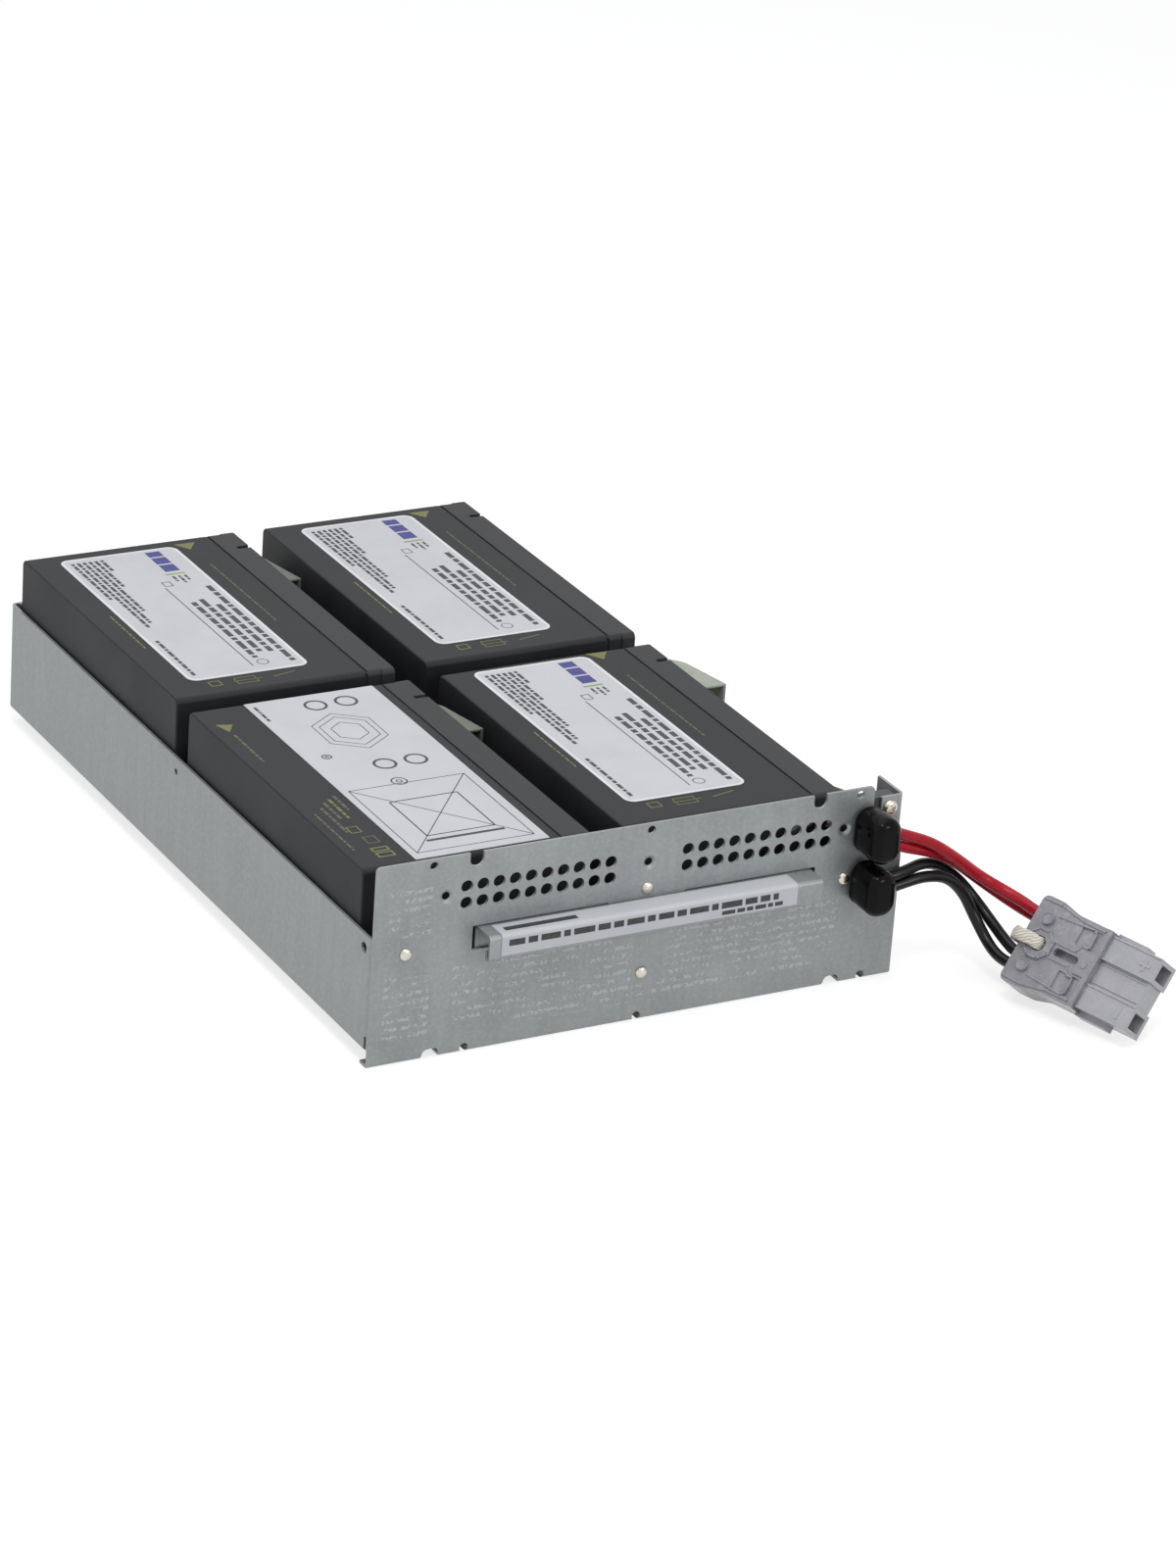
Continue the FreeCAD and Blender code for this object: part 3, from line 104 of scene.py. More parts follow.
# --- the leads' routes, in metres in the frame -------------------------------------------
LEADS = {
    "upper_red_lead": (0.0816, [
        (0.10398, -0.16325, 0.06278), (0.11094, -0.16325, 0.05997),
        (0.1214, -0.16365, 0.0556), (0.1328, -0.16465, 0.0474), (0.144, -0.16385, 0.0382),
        (0.1516, -0.16945, 0.0336), (0.1557, -0.17665, 0.0316),
        (0.15757, -0.18398, 0.03012), (0.16008, -0.19157, 0.02984)]),
    "lower_red_lead": (0.0907, [
        (0.10222, -0.16325, 0.05842), (0.10917, -0.16325, 0.05562),
        (0.1222, -0.16025, 0.0508), (0.1344, -0.15925, 0.0446), (0.1469, -0.15805, 0.0344),
        (0.1548, -0.16345, 0.0284), (0.1588, -0.17345, 0.026),
        (0.16041, -0.18288, 0.02591), (0.16292, -0.19047, 0.02563)]),
    "upper_black_lead": (0.0877, [
        (0.10325, -0.16325, 0.04418), (0.11063, -0.16325, 0.04548),
        (0.12, -0.16005, 0.0462), (0.1302, -0.15705, 0.042), (0.1396, -0.15635, 0.0344),
        (0.1458, -0.16085, 0.026), (0.1484, -0.16945, 0.02), (0.1486, -0.17825, 0.0171),
        (0.1491, -0.1862, 0.01498), (0.15161, -0.1938, 0.01469)]),
    "lower_black_lead": (0.0807, [
        (0.10406, -0.16325, 0.03955), (0.11145, -0.16325, 0.04086),
        (0.1196, -0.16305, 0.0418), (0.1299, -0.16265, 0.0398), (0.1376, -0.16325, 0.0324),
        (0.142, -0.16565, 0.0228), (0.144, -0.17285, 0.0151), (0.1445, -0.18005, 0.012),
        (0.14652, -0.18691, 0.01098), (0.14902, -0.1945, 0.01069)]),
}
LEAD_DIAMETER = 0.0045

# --- the wires held in the tray, in metres in the frame ----------------------------------
WIRES = {
    "front_right_wire": [
        (0.0944, -0.03645, 0.062), (0.0944, -0.04825, 0.062), (0.1004, -0.07425, 0.051),
        (0.1025, -0.11625, 0.0402), (0.1025, -0.14205, 0.0402)],
    "back_right_wire": [
        (0.0944, 0.12555, 0.062), (0.0944, 0.11375, 0.062), (0.099, 0.07775, 0.04),
        (0.101, 0.02175, 0.0285), (0.1025, -0.04325, 0.031), (0.1073, -0.08425, 0.046),
        (0.1025, -0.12425, 0.0642), (0.1025, -0.14205, 0.0642)],
    "front_left_wire": [
        (-0.0128, -0.03645, 0.062), (-0.0128, -0.04825, 0.062), (-0.0061, -0.07825, 0.048),
        (-0.0064, -0.12625, 0.0416), (-0.0056, -0.15005, 0.0422), (0.019, -0.15245, 0.0422),
        (0.059, -0.15165, 0.0404), (0.0725, -0.14725, 0.0402), (0.0825, -0.14725, 0.0402)],
    "back_left_wire": [
        (-0.0128, 0.12555, 0.062), (-0.0128, 0.11375, 0.062), (-0.007, 0.07775, 0.041),
        (-0.006, 0.01775, 0.02), (-0.0064, -0.05825, 0.0176), (-0.0062, -0.12625, 0.0182),
        (-0.0056, -0.14985, 0.018), (0.024, -0.14945, 0.019), (0.045, -0.14645, 0.032),
        (0.058, -0.14665, 0.053), (0.0715, -0.14725, 0.0642), (0.0825, -0.14725, 0.0642)],
    "right_jumper": [
        (0.0944, 0.04055, 0.062), (0.0944, 0.02875, 0.062), (0.0954, -0.00025, 0.0485),
        (0.0949, -0.05725, 0.047), (0.0944, -0.08725, 0.062), (0.0944, -0.09965, 0.062)],
    "left_jumper": [
        (-0.0128, 0.04055, 0.062), (-0.0128, 0.02875, 0.062), (-0.0121, -0.00025, 0.0485),
        (-0.0126, -0.05725, 0.047), (-0.0128, -0.08725, 0.062), (-0.0128, -0.09965, 0.062)],
}
WIRE_DIAMETER = 0.004


def at(x, y, z):
    """A place in the plate's millimetres, as metres in the frame."""
    return (Vector((x, y, z)) - CORNER) * MM


# --- shader nodes ------------------------------------------------------------------------
def put(node, **values):
    """Sets a node's sockets, or links outputs to them; an underscore stands for a space."""
    for name, value in values.items():
        socket = node.inputs[name.replace("_", " ")]
        if isinstance(value, bpy.types.NodeSocket):
            node.id_data.links.new(value, socket)
        else:
            socket.default_value = value
    return node


def add(tree, kind, **values):
    """A new shader node of that kind, with its sockets set."""
    return put(tree.nodes.new(f"ShaderNode{kind}"), **values)


def emptied(owner):
    """The node tree of a new material or world, with nothing in it."""
    owner.use_nodes = True
    owner.node_tree.nodes.clear()
    return owner.node_tree


def new_material(name):
    """A material with only a Principled shader: (material, its tree, the shader)."""
    material = bpy.data.materials.new(name)
    tree = emptied(material)
    shader = add(tree, "BsdfPrincipled")
    add(tree, "OutputMaterial", Surface=shader.outputs[0])
    return material, tree, shader


def grey(value):
    return (value, value, value, 1.0)


def noise(tree, scale, detail=3.0, roughness=0.5, stretch=(1.0, 1.0, 1.0)):
    """Noise over the object's own coordinates in metres, stretched along the axes."""
    coordinates = add(tree, "TexCoord").outputs["Object"]
    mapping = add(tree, "Mapping", Scale=stretch, Vector=coordinates)
    return add(tree, "TexNoise", Scale=scale, Detail=detail, Roughness=roughness,
               Vector=mapping.outputs[0]).outputs[0]


def spread(factor, low, high, start=0.3, stop=0.7):
    """The factor between start and stop, as a number from low to high."""
    return add(factor.id_data, "MapRange", From_Min=start, From_Max=stop, To_Min=low,
               To_Max=high, Value=factor).outputs[0]


def blended(factor, first, second):
    """Two colours mixed; each is (red, green, blue) or another node's output."""
    links = factor.id_data.links
    node = add(factor.id_data, "Mix")
    node.data_type = "RGBA"
    links.new(factor, node.inputs[0])
    for socket, value in ((6, first), (7, second)):
        if isinstance(value, bpy.types.NodeSocket):
            links.new(value, node.inputs[socket])
        else:
            node.inputs[socket].default_value = (*value, 1.0)
    return node.outputs[2]


def calculate(operation, first, second=0.0):
    """One step of arithmetic on an output, with a number or a second output."""
    links = first.id_data.links
    node = add(first.id_data, "Math")
    node.operation = operation
    links.new(first, node.inputs[0])
    if isinstance(second, bpy.types.NodeSocket):
        links.new(second, node.inputs[1])
    else:
        node.inputs[1].default_value = second
    return node.outputs[0]


def bumped(shader, height, strength, distance):
    """Adds a bump to what the shader already has on its normal."""
    node = add(shader.id_data, "Bump", Strength=strength, Distance=distance, Height=height)
    for link in shader.inputs["Normal"].links:
        put(node, Normal=link.from_socket)
    put(shader, Normal=node.outputs[0])


# --- materials ---------------------------------------------------------------------------
def zinc(name, embossed=False):
    """Zinc-plated sheet: cloudy, finely spangled and faintly streaked."""
    material, tree, shader = new_material(name)
    clouds = noise(tree, 30.0, 6.0, 0.62)
    streaks = noise(tree, 30.0, 4.0, 0.7, (9.0, 9.0, 0.7))
    spangle = noise(tree, 620.0, 3.0, 0.6)
    base = blended(spread(clouds, 0.0, 1.0), (0.265, 0.283, 0.289), (0.35, 0.37, 0.373))
    base = blended(spread(streaks, 0.0, 0.3), base, (0.20, 0.215, 0.22))
    base = blended(spread(spangle, 0.0, 0.3, 0.45, 0.75), base, (0.46, 0.48, 0.48))
    bumped(shader, spangle, 0.2, 0.0002)
    bumped(shader, clouds, 0.12, 0.0015)
    if embossed:
        raised = embossed_lines(tree)
        # The raised dashes are also painted paler: a painted highlight where they catch the
        # light.
        base = blended(calculate("MULTIPLY", raised, 0.32), base, (0.62, 0.64, 0.64))
        bumped(shader, raised, 0.9, 0.0005)
    put(shader, Base_Color=base, Roughness=spread(clouds, 0.36, 0.52), Metallic=0.5)
    return material


def embossed_lines(tree):
    """1 on rows of small raised dashes over a few fields of the plate, and 0 elsewhere."""
    split = add(tree, "SeparateXYZ", Vector=add(tree, "TexCoord").outputs["Object"])
    across, up = split.outputs[0], split.outputs[2]
    pitch = calculate("FRACT", calculate("MULTIPLY", up, 1 / EMBOSSED_PITCH))
    lines = calculate("LESS_THAN", pitch, 0.52)
    dashes = calculate("GREATER_THAN", noise(tree, 820.0, 1.0, 0.5, (1.0, 1.0, 0.8)), 0.5)
    words = calculate("GREATER_THAN", noise(tree, 105.0, 1.0, 0.5, (1.0, 1.0, 2.6)), 0.42)
    fields = None
    for x0, x1, z0, z1 in EMBOSSED_FIELDS:
        low, high = at(x0, 0, z0), at(x1, 0, z1)
        inside = calculate("GREATER_THAN", across, low.x)
        for operation, value, edge in (("LESS_THAN", across, high.x),
                                       ("GREATER_THAN", up, low.z),
                                       ("LESS_THAN", up, high.z)):
            inside = calculate("MULTIPLY", inside, calculate(operation, value, edge))
        fields = inside if fields is None else calculate("MAXIMUM", fields, inside)
    for part in (dashes, words, fields):
        lines = calculate("MULTIPLY", lines, part)
    return lines


def bright_metal(name, colour, roughness):
    """Small plated parts, with handling marks."""
    material, tree, shader = new_material(name)
    marks = noise(tree, 420.0, 4.0, 0.6)
    dull = tuple(0.72 * part for part in colour)
    put(shader, Base_Color=blended(spread(marks, 0.0, 0.6), colour, dull),
        Roughness=spread(marks, roughness, roughness + 0.18), Metallic=1.0)
    bumped(shader, marks, 0.2, 0.0001)
    return material


def moulded(name, colour, light, roughness=0.5, grain=0.25, shine=0.5):
    """Fine-grained moulded plastic with faint scuffs."""
    material, tree, shader = new_material(name)
    fine = noise(tree, 2600.0, 2.0)
    broad = noise(tree, 26.0, 5.0, 0.62)
    scuffs = noise(tree, 55.0, 6.0, 0.75, (1.0, 7.0, 2.0))
    rubbed = tuple(min(1.0, 1.9 * part) for part in light)
    base = blended(spread(broad, 0.0, 1.0), colour, light)
    base = blended(spread(scuffs, 0.0, 0.3, 0.6, 0.82), base, rubbed)
    put(shader, Base_Color=base, Specular_IOR_Level=shine,
        Roughness=spread(broad, roughness - 0.06, roughness + 0.08))
    bumped(shader, fine, grain, 0.00012)
    return material


def paper(name, colour, dirt):
    """Coated paper with a faint fibre and a few smudges."""
    material, tree, shader = new_material(name)
    smudges = noise(tree, 42.0, 5.0, 0.65)
    put(shader, Base_Color=blended(spread(smudges, 0.0, 0.5, 0.42, 0.8), colour, dirt),
        Roughness=spread(smudges, 0.34, 0.5))
    bumped(shader, noise(tree, 1800.0, 3.0), 0.08, 0.00006)
    return material


def ink(name, colour, wear):
    """Printing that is a little uneven."""
    material, tree, shader = new_material(name)
    thin = noise(tree, 600.0, 3.0)
    pale = tuple(part + wear * (0.5 - part) for part in colour)
    put(shader, Base_Color=blended(spread(thin, 0.0, 0.6, 0.4, 0.8), colour, pale),
        Roughness=0.5)
    return material


def vinyl(name, colour, light, roughness, shine):
    """Glossy dipped or extruded vinyl, slightly uneven."""
    material, tree, shader = new_material(name)
    waves = noise(tree, 90.0, 3.0, 0.55)
    specks = noise(tree, 1300.0, 2.0)
    put(shader, Base_Color=blended(spread(waves, 0.0, 1.0), colour, light),
        Roughness=spread(specks, roughness, roughness + 0.1), Specular_IOR_Level=shine)
    bumped(shader, waves, 0.18, 0.0008)
    bumped(shader, specks, 0.06, 0.00008)
    return material


def cloudy_plastic(name, colour, light):
    """Milky cream plastic that lets some light through."""
    material, tree, shader = new_material(name)
    clouds = noise(tree, 160.0, 4.0, 0.6)
    put(shader, Base_Color=blended(spread(clouds, 0.0, 1.0), colour, light),
        Roughness=spread(clouds, 0.34, 0.48), Transmission_Weight=0.25, IOR=1.47)
    bumped(shader, noise(tree, 1500.0, 2.0), 0.12, 0.00008)
    return material


def beyond_shoulder(tree):
    """0.6 on the plug's tongues, which are polished by use and get a painted sheen, and 0 on
    its body.
    """
    along = add(tree, "VectorMath")
    along.operation = "DOT_PRODUCT"
    axis = (on_plug(1.0, 0, 0) - on_plug(0, 0, 0)).normalized()
    tree.links.new(add(tree, "TexCoord").outputs["Object"], along.inputs[0])
    along.inputs[1].default_value = axis
    shoulder = on_plug(PLUG_SHOULDER, 0, 0).dot(axis)
    return spread(along.outputs["Value"], 0.0, 0.6, shoulder, shoulder + 0.0006)


def plug_plastic(name):
    """Satin grey housing with pale rubbed patches and a mould's texture."""
    material, tree, shader = new_material(name)
    broad = noise(tree, 65.0, 5.0, 0.65)
    specks = noise(tree, 1100.0, 3.0, 0.6)
    rubbed = noise(tree, 240.0, 5.0, 0.7)
    base = blended(spread(broad, 0.0, 1.0), (0.225, 0.225, 0.25), (0.31, 0.31, 0.34))
    base = blended(spread(rubbed, 0.0, 0.55, 0.52, 0.72), base, (0.50, 0.50, 0.54))
    base = blended(spread(specks, 0.0, 0.3, 0.5, 0.9), base, (0.12, 0.12, 0.13))
    # The tongues are painted paler: polished by use, shown as a painted sheen.
    base = blended(beyond_shoulder(tree), base, (0.46, 0.46, 0.49))
    put(shader, Base_Color=base, Roughness=spread(broad, 0.2, 0.34),
        Specular_IOR_Level=0.9)
    bumped(shader, broad, 0.35, 0.0012)
    bumped(shader, rubbed, 0.25, 0.0005)
    bumped(shader, specks, 0.12, 0.0001)
    return material


def braid(name):
    """Cream cord: pale filaments with painted shade in the valleys between them."""
    material, tree, shader = new_material(name)
    wave = add(tree, "TexWave", Scale=3.0, Distortion=2.2, Detail=2.0,
               Vector=add(tree, "UVMap").outputs[0])
    wave.bands_direction = "DIAGONAL"
    bands = wave.outputs["Fac"]
    fibre = noise(tree, 2400.0, 3.0, 0.7)
    # The bands darken the cord between its strands: painted shade in the valleys.
    base = blended(bands, (0.44, 0.385, 0.31), (0.84, 0.79, 0.70))
    base = blended(spread(fibre, 0.0, 0.4), base, (0.88, 0.84, 0.74))
    put(shader, Base_Color=base, Roughness=0.85, Sheen_Weight=0.3)
    bumped(shader, bands, 0.7, 0.0003)
    bumped(shader, fibre, 0.35, 0.0001)
    return material


def make_materials():
    return {
        "zinc_steel": zinc("zinc_sheet"),
        "plate": zinc("zinc_plate", embossed=True),
        "fastener_steel": bright_metal("plated_steel", (0.66, 0.62, 0.55), 0.22),
        "tinned_brass": bright_metal("tinned_brass", (0.72, 0.69, 0.62), 0.28),
        "case_plastic": moulded("case_black", (0.019, 0.02, 0.022),
                                (0.032, 0.033, 0.037), 0.52, 0.3, 0.18),
        "lid_plastic": moulded("lid_black", (0.024, 0.025, 0.028),
                               (0.042, 0.043, 0.048), 0.5, 0.3, 0.22),
        "block_plastic": moulded("block_black", (0.02, 0.02, 0.022),
                                 (0.035, 0.035, 0.038), 0.4),
        "tape_foam": moulded("foam_grey", (0.10, 0.10, 0.10), (0.16, 0.16, 0.16),
                             0.9, 0.8),
        "sticker": paper("label_field", (0.57, 0.58, 0.61), (0.49, 0.50, 0.53)),
        "rim": paper("label_rim", (0.76, 0.77, 0.79), (0.64, 0.65, 0.67)),
        "black_ink": ink("black_ink", (0.022, 0.022, 0.026), 0.12),
        "blue_ink": ink("blue_ink", (0.03, 0.035, 0.21), 0.05),
        "green_ink": ink("green_ink", (0.2, 0.33, 0.07), 0.1),
        "olive_ink": ink("olive_ink", (0.15, 0.155, 0.04), 0.0),
        "faint_ink": ink("faint_ink", (0.08, 0.083, 0.045), 0.0),
        "boot_vinyl": vinyl("boot_vinyl", (0.003, 0.003, 0.0035), (0.005, 0.005, 0.0055),
                            0.02, 0.09),
        "black_insulation": vinyl("black_insulation", (0.004, 0.004, 0.0045),
                                  (0.01, 0.01, 0.0105), 0.2, 0.26),
        "red_insulation": vinyl("red_insulation", (0.34, 0.004, 0.013),
                                (0.45, 0.008, 0.024), 0.2, 0.22),
        "plug_plastic": plug_plastic("plug_grey"),
        "cover_plastic": cloudy_plastic("cover_cream", (0.36, 0.40, 0.33),
                                        (0.52, 0.56, 0.47)),
        # The same cover plastic made darker: painted shade for the left column's hoods.
        "shaded_cover": cloudy_plastic("cover_painted_shade", (0.15, 0.168, 0.138),
                                     (0.22, 0.24, 0.2)),
        "braid": braid("cream_braid"),
    }


# --- outlines and solids -----------------------------------------------------------------
def rounded(outline, steps=8):
    """Points of an outline of (a, b, radius), each corner an arc of even steps."""
    points = []
    count = len(outline)
    for i, (a, b, radius) in enumerate(outline):
        corner = Vector((a, b))
        if radius <= 0:
            points.append(corner)
            continue
        back = (Vector(outline[i - 1][:2]) - corner).normalized()
        ahead = (Vector(outline[(i + 1) % count][:2]) - corner).normalized()
        half = back.angle(ahead) / 2
        centre = corner + (back + ahead).normalized() * (radius / math.sin(half))
        start = corner + back * (radius / math.tan(half)) - centre
        finish = corner + ahead * (radius / math.tan(half)) - centre
        first = math.atan2(start.y, start.x)
        turn = math.atan2(start.cross(finish), start.dot(finish))
        for step in range(steps + 1):
            angle = first + turn * step / steps
            points.append(centre + radius * Vector((math.cos(angle), math.sin(angle))))
    return points


def rectangle(a0, a1, b0, b1, radius=0.0):
    return [(a0, b0, radius), (a1, b0, radius), (a1, b1, radius), (a0, b1, radius)]


def circle(a, b, radius, sides=32):
    return [Vector((a + radius * math.cos(math.tau * i / sides),
                    b + radius * math.sin(math.tau * i / sides))) for i in range(sides)]


def on_plane(plane, level, point):
    places = {"xy": (point[0], point[1], level), "xz": (point[0], level, point[1]),
              "yz": (level, point[0], point[1])}
    return Vector(places[plane])


def prism(bm, plane, low, high, points, slot=0, place=at):
    """Adds a closed prism of a 2-D outline between two levels."""
    near = [bm.verts.new(place(*on_plane(plane, low, point))) for point in points]
    far = [bm.verts.new(place(*on_plane(plane, high, point))) for point in points]
    faces = [bm.faces.new(near[::-1]), bm.faces.new(far)]
    for i, point in enumerate(near):
        following = (i + 1) % len(near)
        faces.append(bm.faces.new((point, near[following], far[following], far[i])))
    for face in faces:
        face.material_index = slot
    return faces


def skinned(bm, rings):
    """Adds faces from ring to ring, and one over each end."""
    for near, far in zip(rings, rings[1:]):
        for i, point in enumerate(near):
            following = (i + 1) % len(near)
            bm.faces.new((point, near[following], far[following], far[i]))
    bm.faces.new(rings[0][::-1])
    bm.faces.new(rings[-1])


def lathe(bm, x, z, profile, sides=32):
    """Adds a piece turned about a line from front to back; profile is (radius, level)."""
    skinned(bm, [[bm.verts.new(at(point.x, level, point.y))
                  for point in circle(x, z, max(radius, 1e-3), sides)]
                 for radius, level in profile])


def finished_mesh(bm, name):
    bmesh.ops.recalc_face_normals(bm, faces=bm.faces)
    mesh = bpy.data.meshes.new(name)
    bm.to_mesh(mesh)
    bm.free()
    return mesh


def in_scene(name, data):
    obj = bpy.data.objects.new(name, data)
    bpy.context.scene.collection.objects.link(obj)
    return obj


def applied(obj):
    """The object's mesh with its modifiers applied; the object is removed."""
    name = obj.data.name
    graph = bpy.context.evaluated_depsgraph_get()
    graph.update()
    mesh = bpy.data.meshes.new_from_object(obj.evaluated_get(graph),
                                           preserve_all_data_layers=True, depsgraph=graph)
    bpy.data.objects.remove(obj)
    mesh.name = name
    return mesh


def combined(mesh, other, operation):
    """The mesh joined with the other's solids, or with them taken out of it."""
    body = in_scene(mesh.name, mesh)
    tool = in_scene(other.name, other)
    modifier = body.modifiers.new("combine", "BOOLEAN")
    modifier.operation = operation
    modifier.solver = "EXACT"
    modifier.use_self = operation == "DIFFERENCE"
    modifier.object = tool
    result = applied(body)
    bpy.data.objects.remove(tool)
    return result


def eased(mesh, width, segments=2, angle=41.0):
    """Rounds the mesh's sharp edges by a small width, in millimetres."""
    obj = in_scene(mesh.name, mesh)
    modifier = obj.modifiers.new("ease", "BEVEL")
    modifier.limit_method = "ANGLE"
    modifier.angle_limit = math.radians(angle)
    modifier.width = width * MM
    modifier.segments = segments
    modifier.use_clamp_overlap = True
    weighted = obj.modifiers.new("flatten", "WEIGHTED_NORMAL")
    weighted.mode = "FACE_AREA"
    weighted.weight = 100
    weighted.keep_sharp = True
    mesh.shade_smooth()
    return applied(obj)


def smoothed(mesh, angle=SMOOTH_BELOW):
    mesh.shade_smooth()
    mesh.set_sharp_from_angle(angle=angle)
    return mesh


def show(name, data, materials, slot, *nodes, looks=None):
    """Puts a piece on the cartridge in place of the CAD nodes that it stands for. Its
    material is the slot's own, unless looks names others."""
    obj = in_scene(name, data)
    for look in looks or (slot,):
        data.materials.append(materials[look])
    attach(obj, "root")
    if nodes:
        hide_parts(*nodes)
    return obj


def welded(node):
    """A copy of a CAD node's mesh with its flat faces whole again."""
    bm = bmesh.new()
    bm.from_mesh(node.data)
    bmesh.ops.remove_doubles(bm, verts=bm.verts, dist=WELD)
    bmesh.ops.dissolve_limit(bm, angle_limit=math.radians(0.5), verts=bm.verts,
                             edges=bm.edges, delimit={"NORMAL"})
    for face in bm.faces:
        face.material_index = 0
    mesh = bpy.data.meshes.new(node.name)
    bm.to_mesh(mesh)
    bm.free()
    return mesh


def refined(frame, node, width, materials, slot, segments=2, angle=41.0):
    """A CAD node's own shape with its sharp edges eased."""
    mesh = eased(welded(frame["nodes"][node]), width, segments, angle)
    return show(f"{node}_skin", mesh, materials, slot, node)


# --- leads and wires ---------------------------------------------------------------------
def nurbs(name, points):
    """(curve, its only line), with those points as the line's control points."""
    curve = bpy.data.curves.new(name, "CURVE")
    curve.dimensions = "3D"
    spline = curve.splines.new("NURBS")
    spline.points.add(len(points) - 1)
    for point, place in zip(spline.points, points):
        point.co = (*place, 1.0)
    spline.order_u = 3
    return curve, spline


def smooth_wire(node, points, diameter, slot, materials):
    """One open NURBS line for a lead or wire of the CAD."""
    curve, spline = nurbs(f"{node}_line", points)
    spline.use_endpoint_u = True
    spline.resolution_u = 12
    curve.bevel_depth = diameter / 2
    curve.bevel_resolution = 6
    curve.use_fill_caps = True
    return show(f"{node}_line", curve, materials, slot, node)


def make_leads(materials):
    leads = []
    for name, (_, points) in LEADS.items():
        slot = "red_insulation" if "red" in name else "black_insulation"
        leads.append((name, smooth_wire(name, points, LEAD_DIAMETER, slot, materials)))
    return leads


def make_wires(materials):
    for name, points in WIRES.items():
        smooth_wire(name, points, WIRE_DIAMETER, "black_insulation", materials)


# --- front plate -------------------------------------------------------------------------
def plate_blank():
    """Plate's face above its fold, trimmed to the stepped outline."""
    bm = bmesh.new()
    corner = PLATE_CORNER
    face = rounded([(0, FOLD, 0), (TRAY_WIDTH, FOLD, 0), (TRAY_WIDTH, STEP_HEIGHT, corner),
                    (STEP_X, STEP_HEIGHT, corner / 2), (STEP_X, PLATE_HEIGHT, corner),
                    (0, PLATE_HEIGHT, corner)])
    prism(bm, "xz", 0, SHEET, face)
    return finished_mesh(bm, "front_plate_skin")


def plate_foot():
    """Rounded fold and the foot that it turns back."""
    bm = bmesh.new()
    outline = rounded([(SHEET, FOLD, 0), (0, FOLD, 0), (0, 0, FOLD), (FOOT_REACH, 0, 0),
                       (FOOT_REACH, SHEET, 0), (SHEET, SHEET, 0.5)], 6)
    prism(bm, "yz", 0, TRAY_WIDTH, outline)
    return finished_mesh(bm, "front_plate_foot")


def vent_places():
    first = -(VENT_COLUMNS - 1) / 2 * VENT_PITCH
    return [(PATTERN_MIDDLE + side * VENT_OFFSET + first + column * VENT_PITCH, row)
            for side in (-1, 1) for row in VENT_ROWS for column in range(VENT_COLUMNS)]


def plate_cutter():
    """Everything that is punched out of the plate's face, and the screw holes' dimples."""
    bm = bmesh.new()
    for side in (-1, 0, 1):
        lathe(bm, PATTERN_MIDDLE + side * SCREW_OFFSET, SCREW_HEIGHT, DIMPLE, 40)

    def punch(points):
        prism(bm, "xz", -2.0, 3.2, points)

    for x, z in vent_places():
        punch(circle(x, z, VENT_RADIUS))
    for side in (-1, 0, 1):
        punch(circle(PATTERN_MIDDLE + side * SCREW_OFFSET, SCREW_HEIGHT, SCREW_RADIUS, 24))
        punch(circle(PATTERN_MIDDLE + side * TOP_HOLE_OFFSET, TOP_HOLE_HEIGHT,
                     TOP_HOLE_RADIUS, 24))
    for side in (-1, 1):
        notch = PATTERN_MIDDLE + side * NOTCH_OFFSET
        punch(rounded(rectangle(notch - NOTCH_HALF, notch + NOTCH_HALF, NOTCH_FLOOR, 83.0,
                                2.8)))
        edges = sorted((PATTERN_MIDDLE + side * WINDOW_INNER,
                        PATTERN_MIDDLE + side * WINDOW_OUTER))
        punch(rounded(rectangle(*edges, WINDOW_FLOOR, WINDOW_TOP, 0.4), 3))
    punch(circle(STUD_X, LOWER_STUD, COLLAR_HOLE))
    punch(rounded(rectangle(STUD_X - COLLAR_HOLE, TRAY_WIDTH, *COLLAR_SLOT, 3.4)))
    return finished_mesh(bm, "plate_cutter")


def foot_cutter():
    """Notches and locating holes through the plate's foot."""
    bm = bmesh.new()
    middle = TRAY_WIDTH / 2
    for side in (-1, 1):
        notch = middle + side * FOOT_NOTCH_OFFSET
        prism(bm, "xz", -2.0, 9.0, rounded([
            (notch - 4.4, -1.2, 0), (notch + 3.8, -1.2, 0), (notch + 3.2, 3.8, 2.6),
            (notch - 3.2, 3.8, 2.6)]))
    radius = FOOT_HOLE_RADIUS
    for place in FOOT_HOLES:
        x = middle + place
        outline = [Vector((x - radius / 2, -1.2)), Vector((x + radius / 2, -1.2))]
        outline += [Vector((x + radius * math.cos(angle), radius + radius * math.sin(angle)))
                    for angle in [math.radians(-60 + 300 * i / 20) for i in range(21)]]
        prism(bm, "xz", -2.0, 9.0, outline)
    return finished_mesh(bm, "foot_cutter")


def make_plate(materials):
    mesh = combined(plate_blank(), plate_foot(), "UNION")
    for cutter in (plate_cutter(), foot_cutter()):
        mesh = combined(mesh, cutter, "DIFFERENCE")
    show("front_plate_skin", eased(mesh, 0.14, angle=50.0), materials, "zinc_steel",
         "front_plate", looks=("plate",))


# --- rivets and screw --------------------------------------------------------------------
def make_rivets(materials):
    """Low domed heads on the plate, with their shanks and set tails."""
    bm = bmesh.new()
    dome = [(RIVET_RADIUS * math.sin(angle), -RIVET_RISE * math.cos(angle))
            for angle in [math.radians(90 * i / 8) for i in range(9)]]
    profile = [(radius, level - 0.02) for radius, level in dome]
    profile += [(RIVET_RADIUS, -0.02), (1.58, -0.01), (1.58, 2.4), (2.2, 2.42), (2.0, 2.9),
                (1.5, 3.28)]
    for x, z in RIVETS:
        lathe(bm, x, z, profile)
    mesh = smoothed(finished_mesh(bm, "rivet_heads"), math.radians(55))
    show("rivet_heads", mesh, materials, "fastener_steel", "plate_rivets")


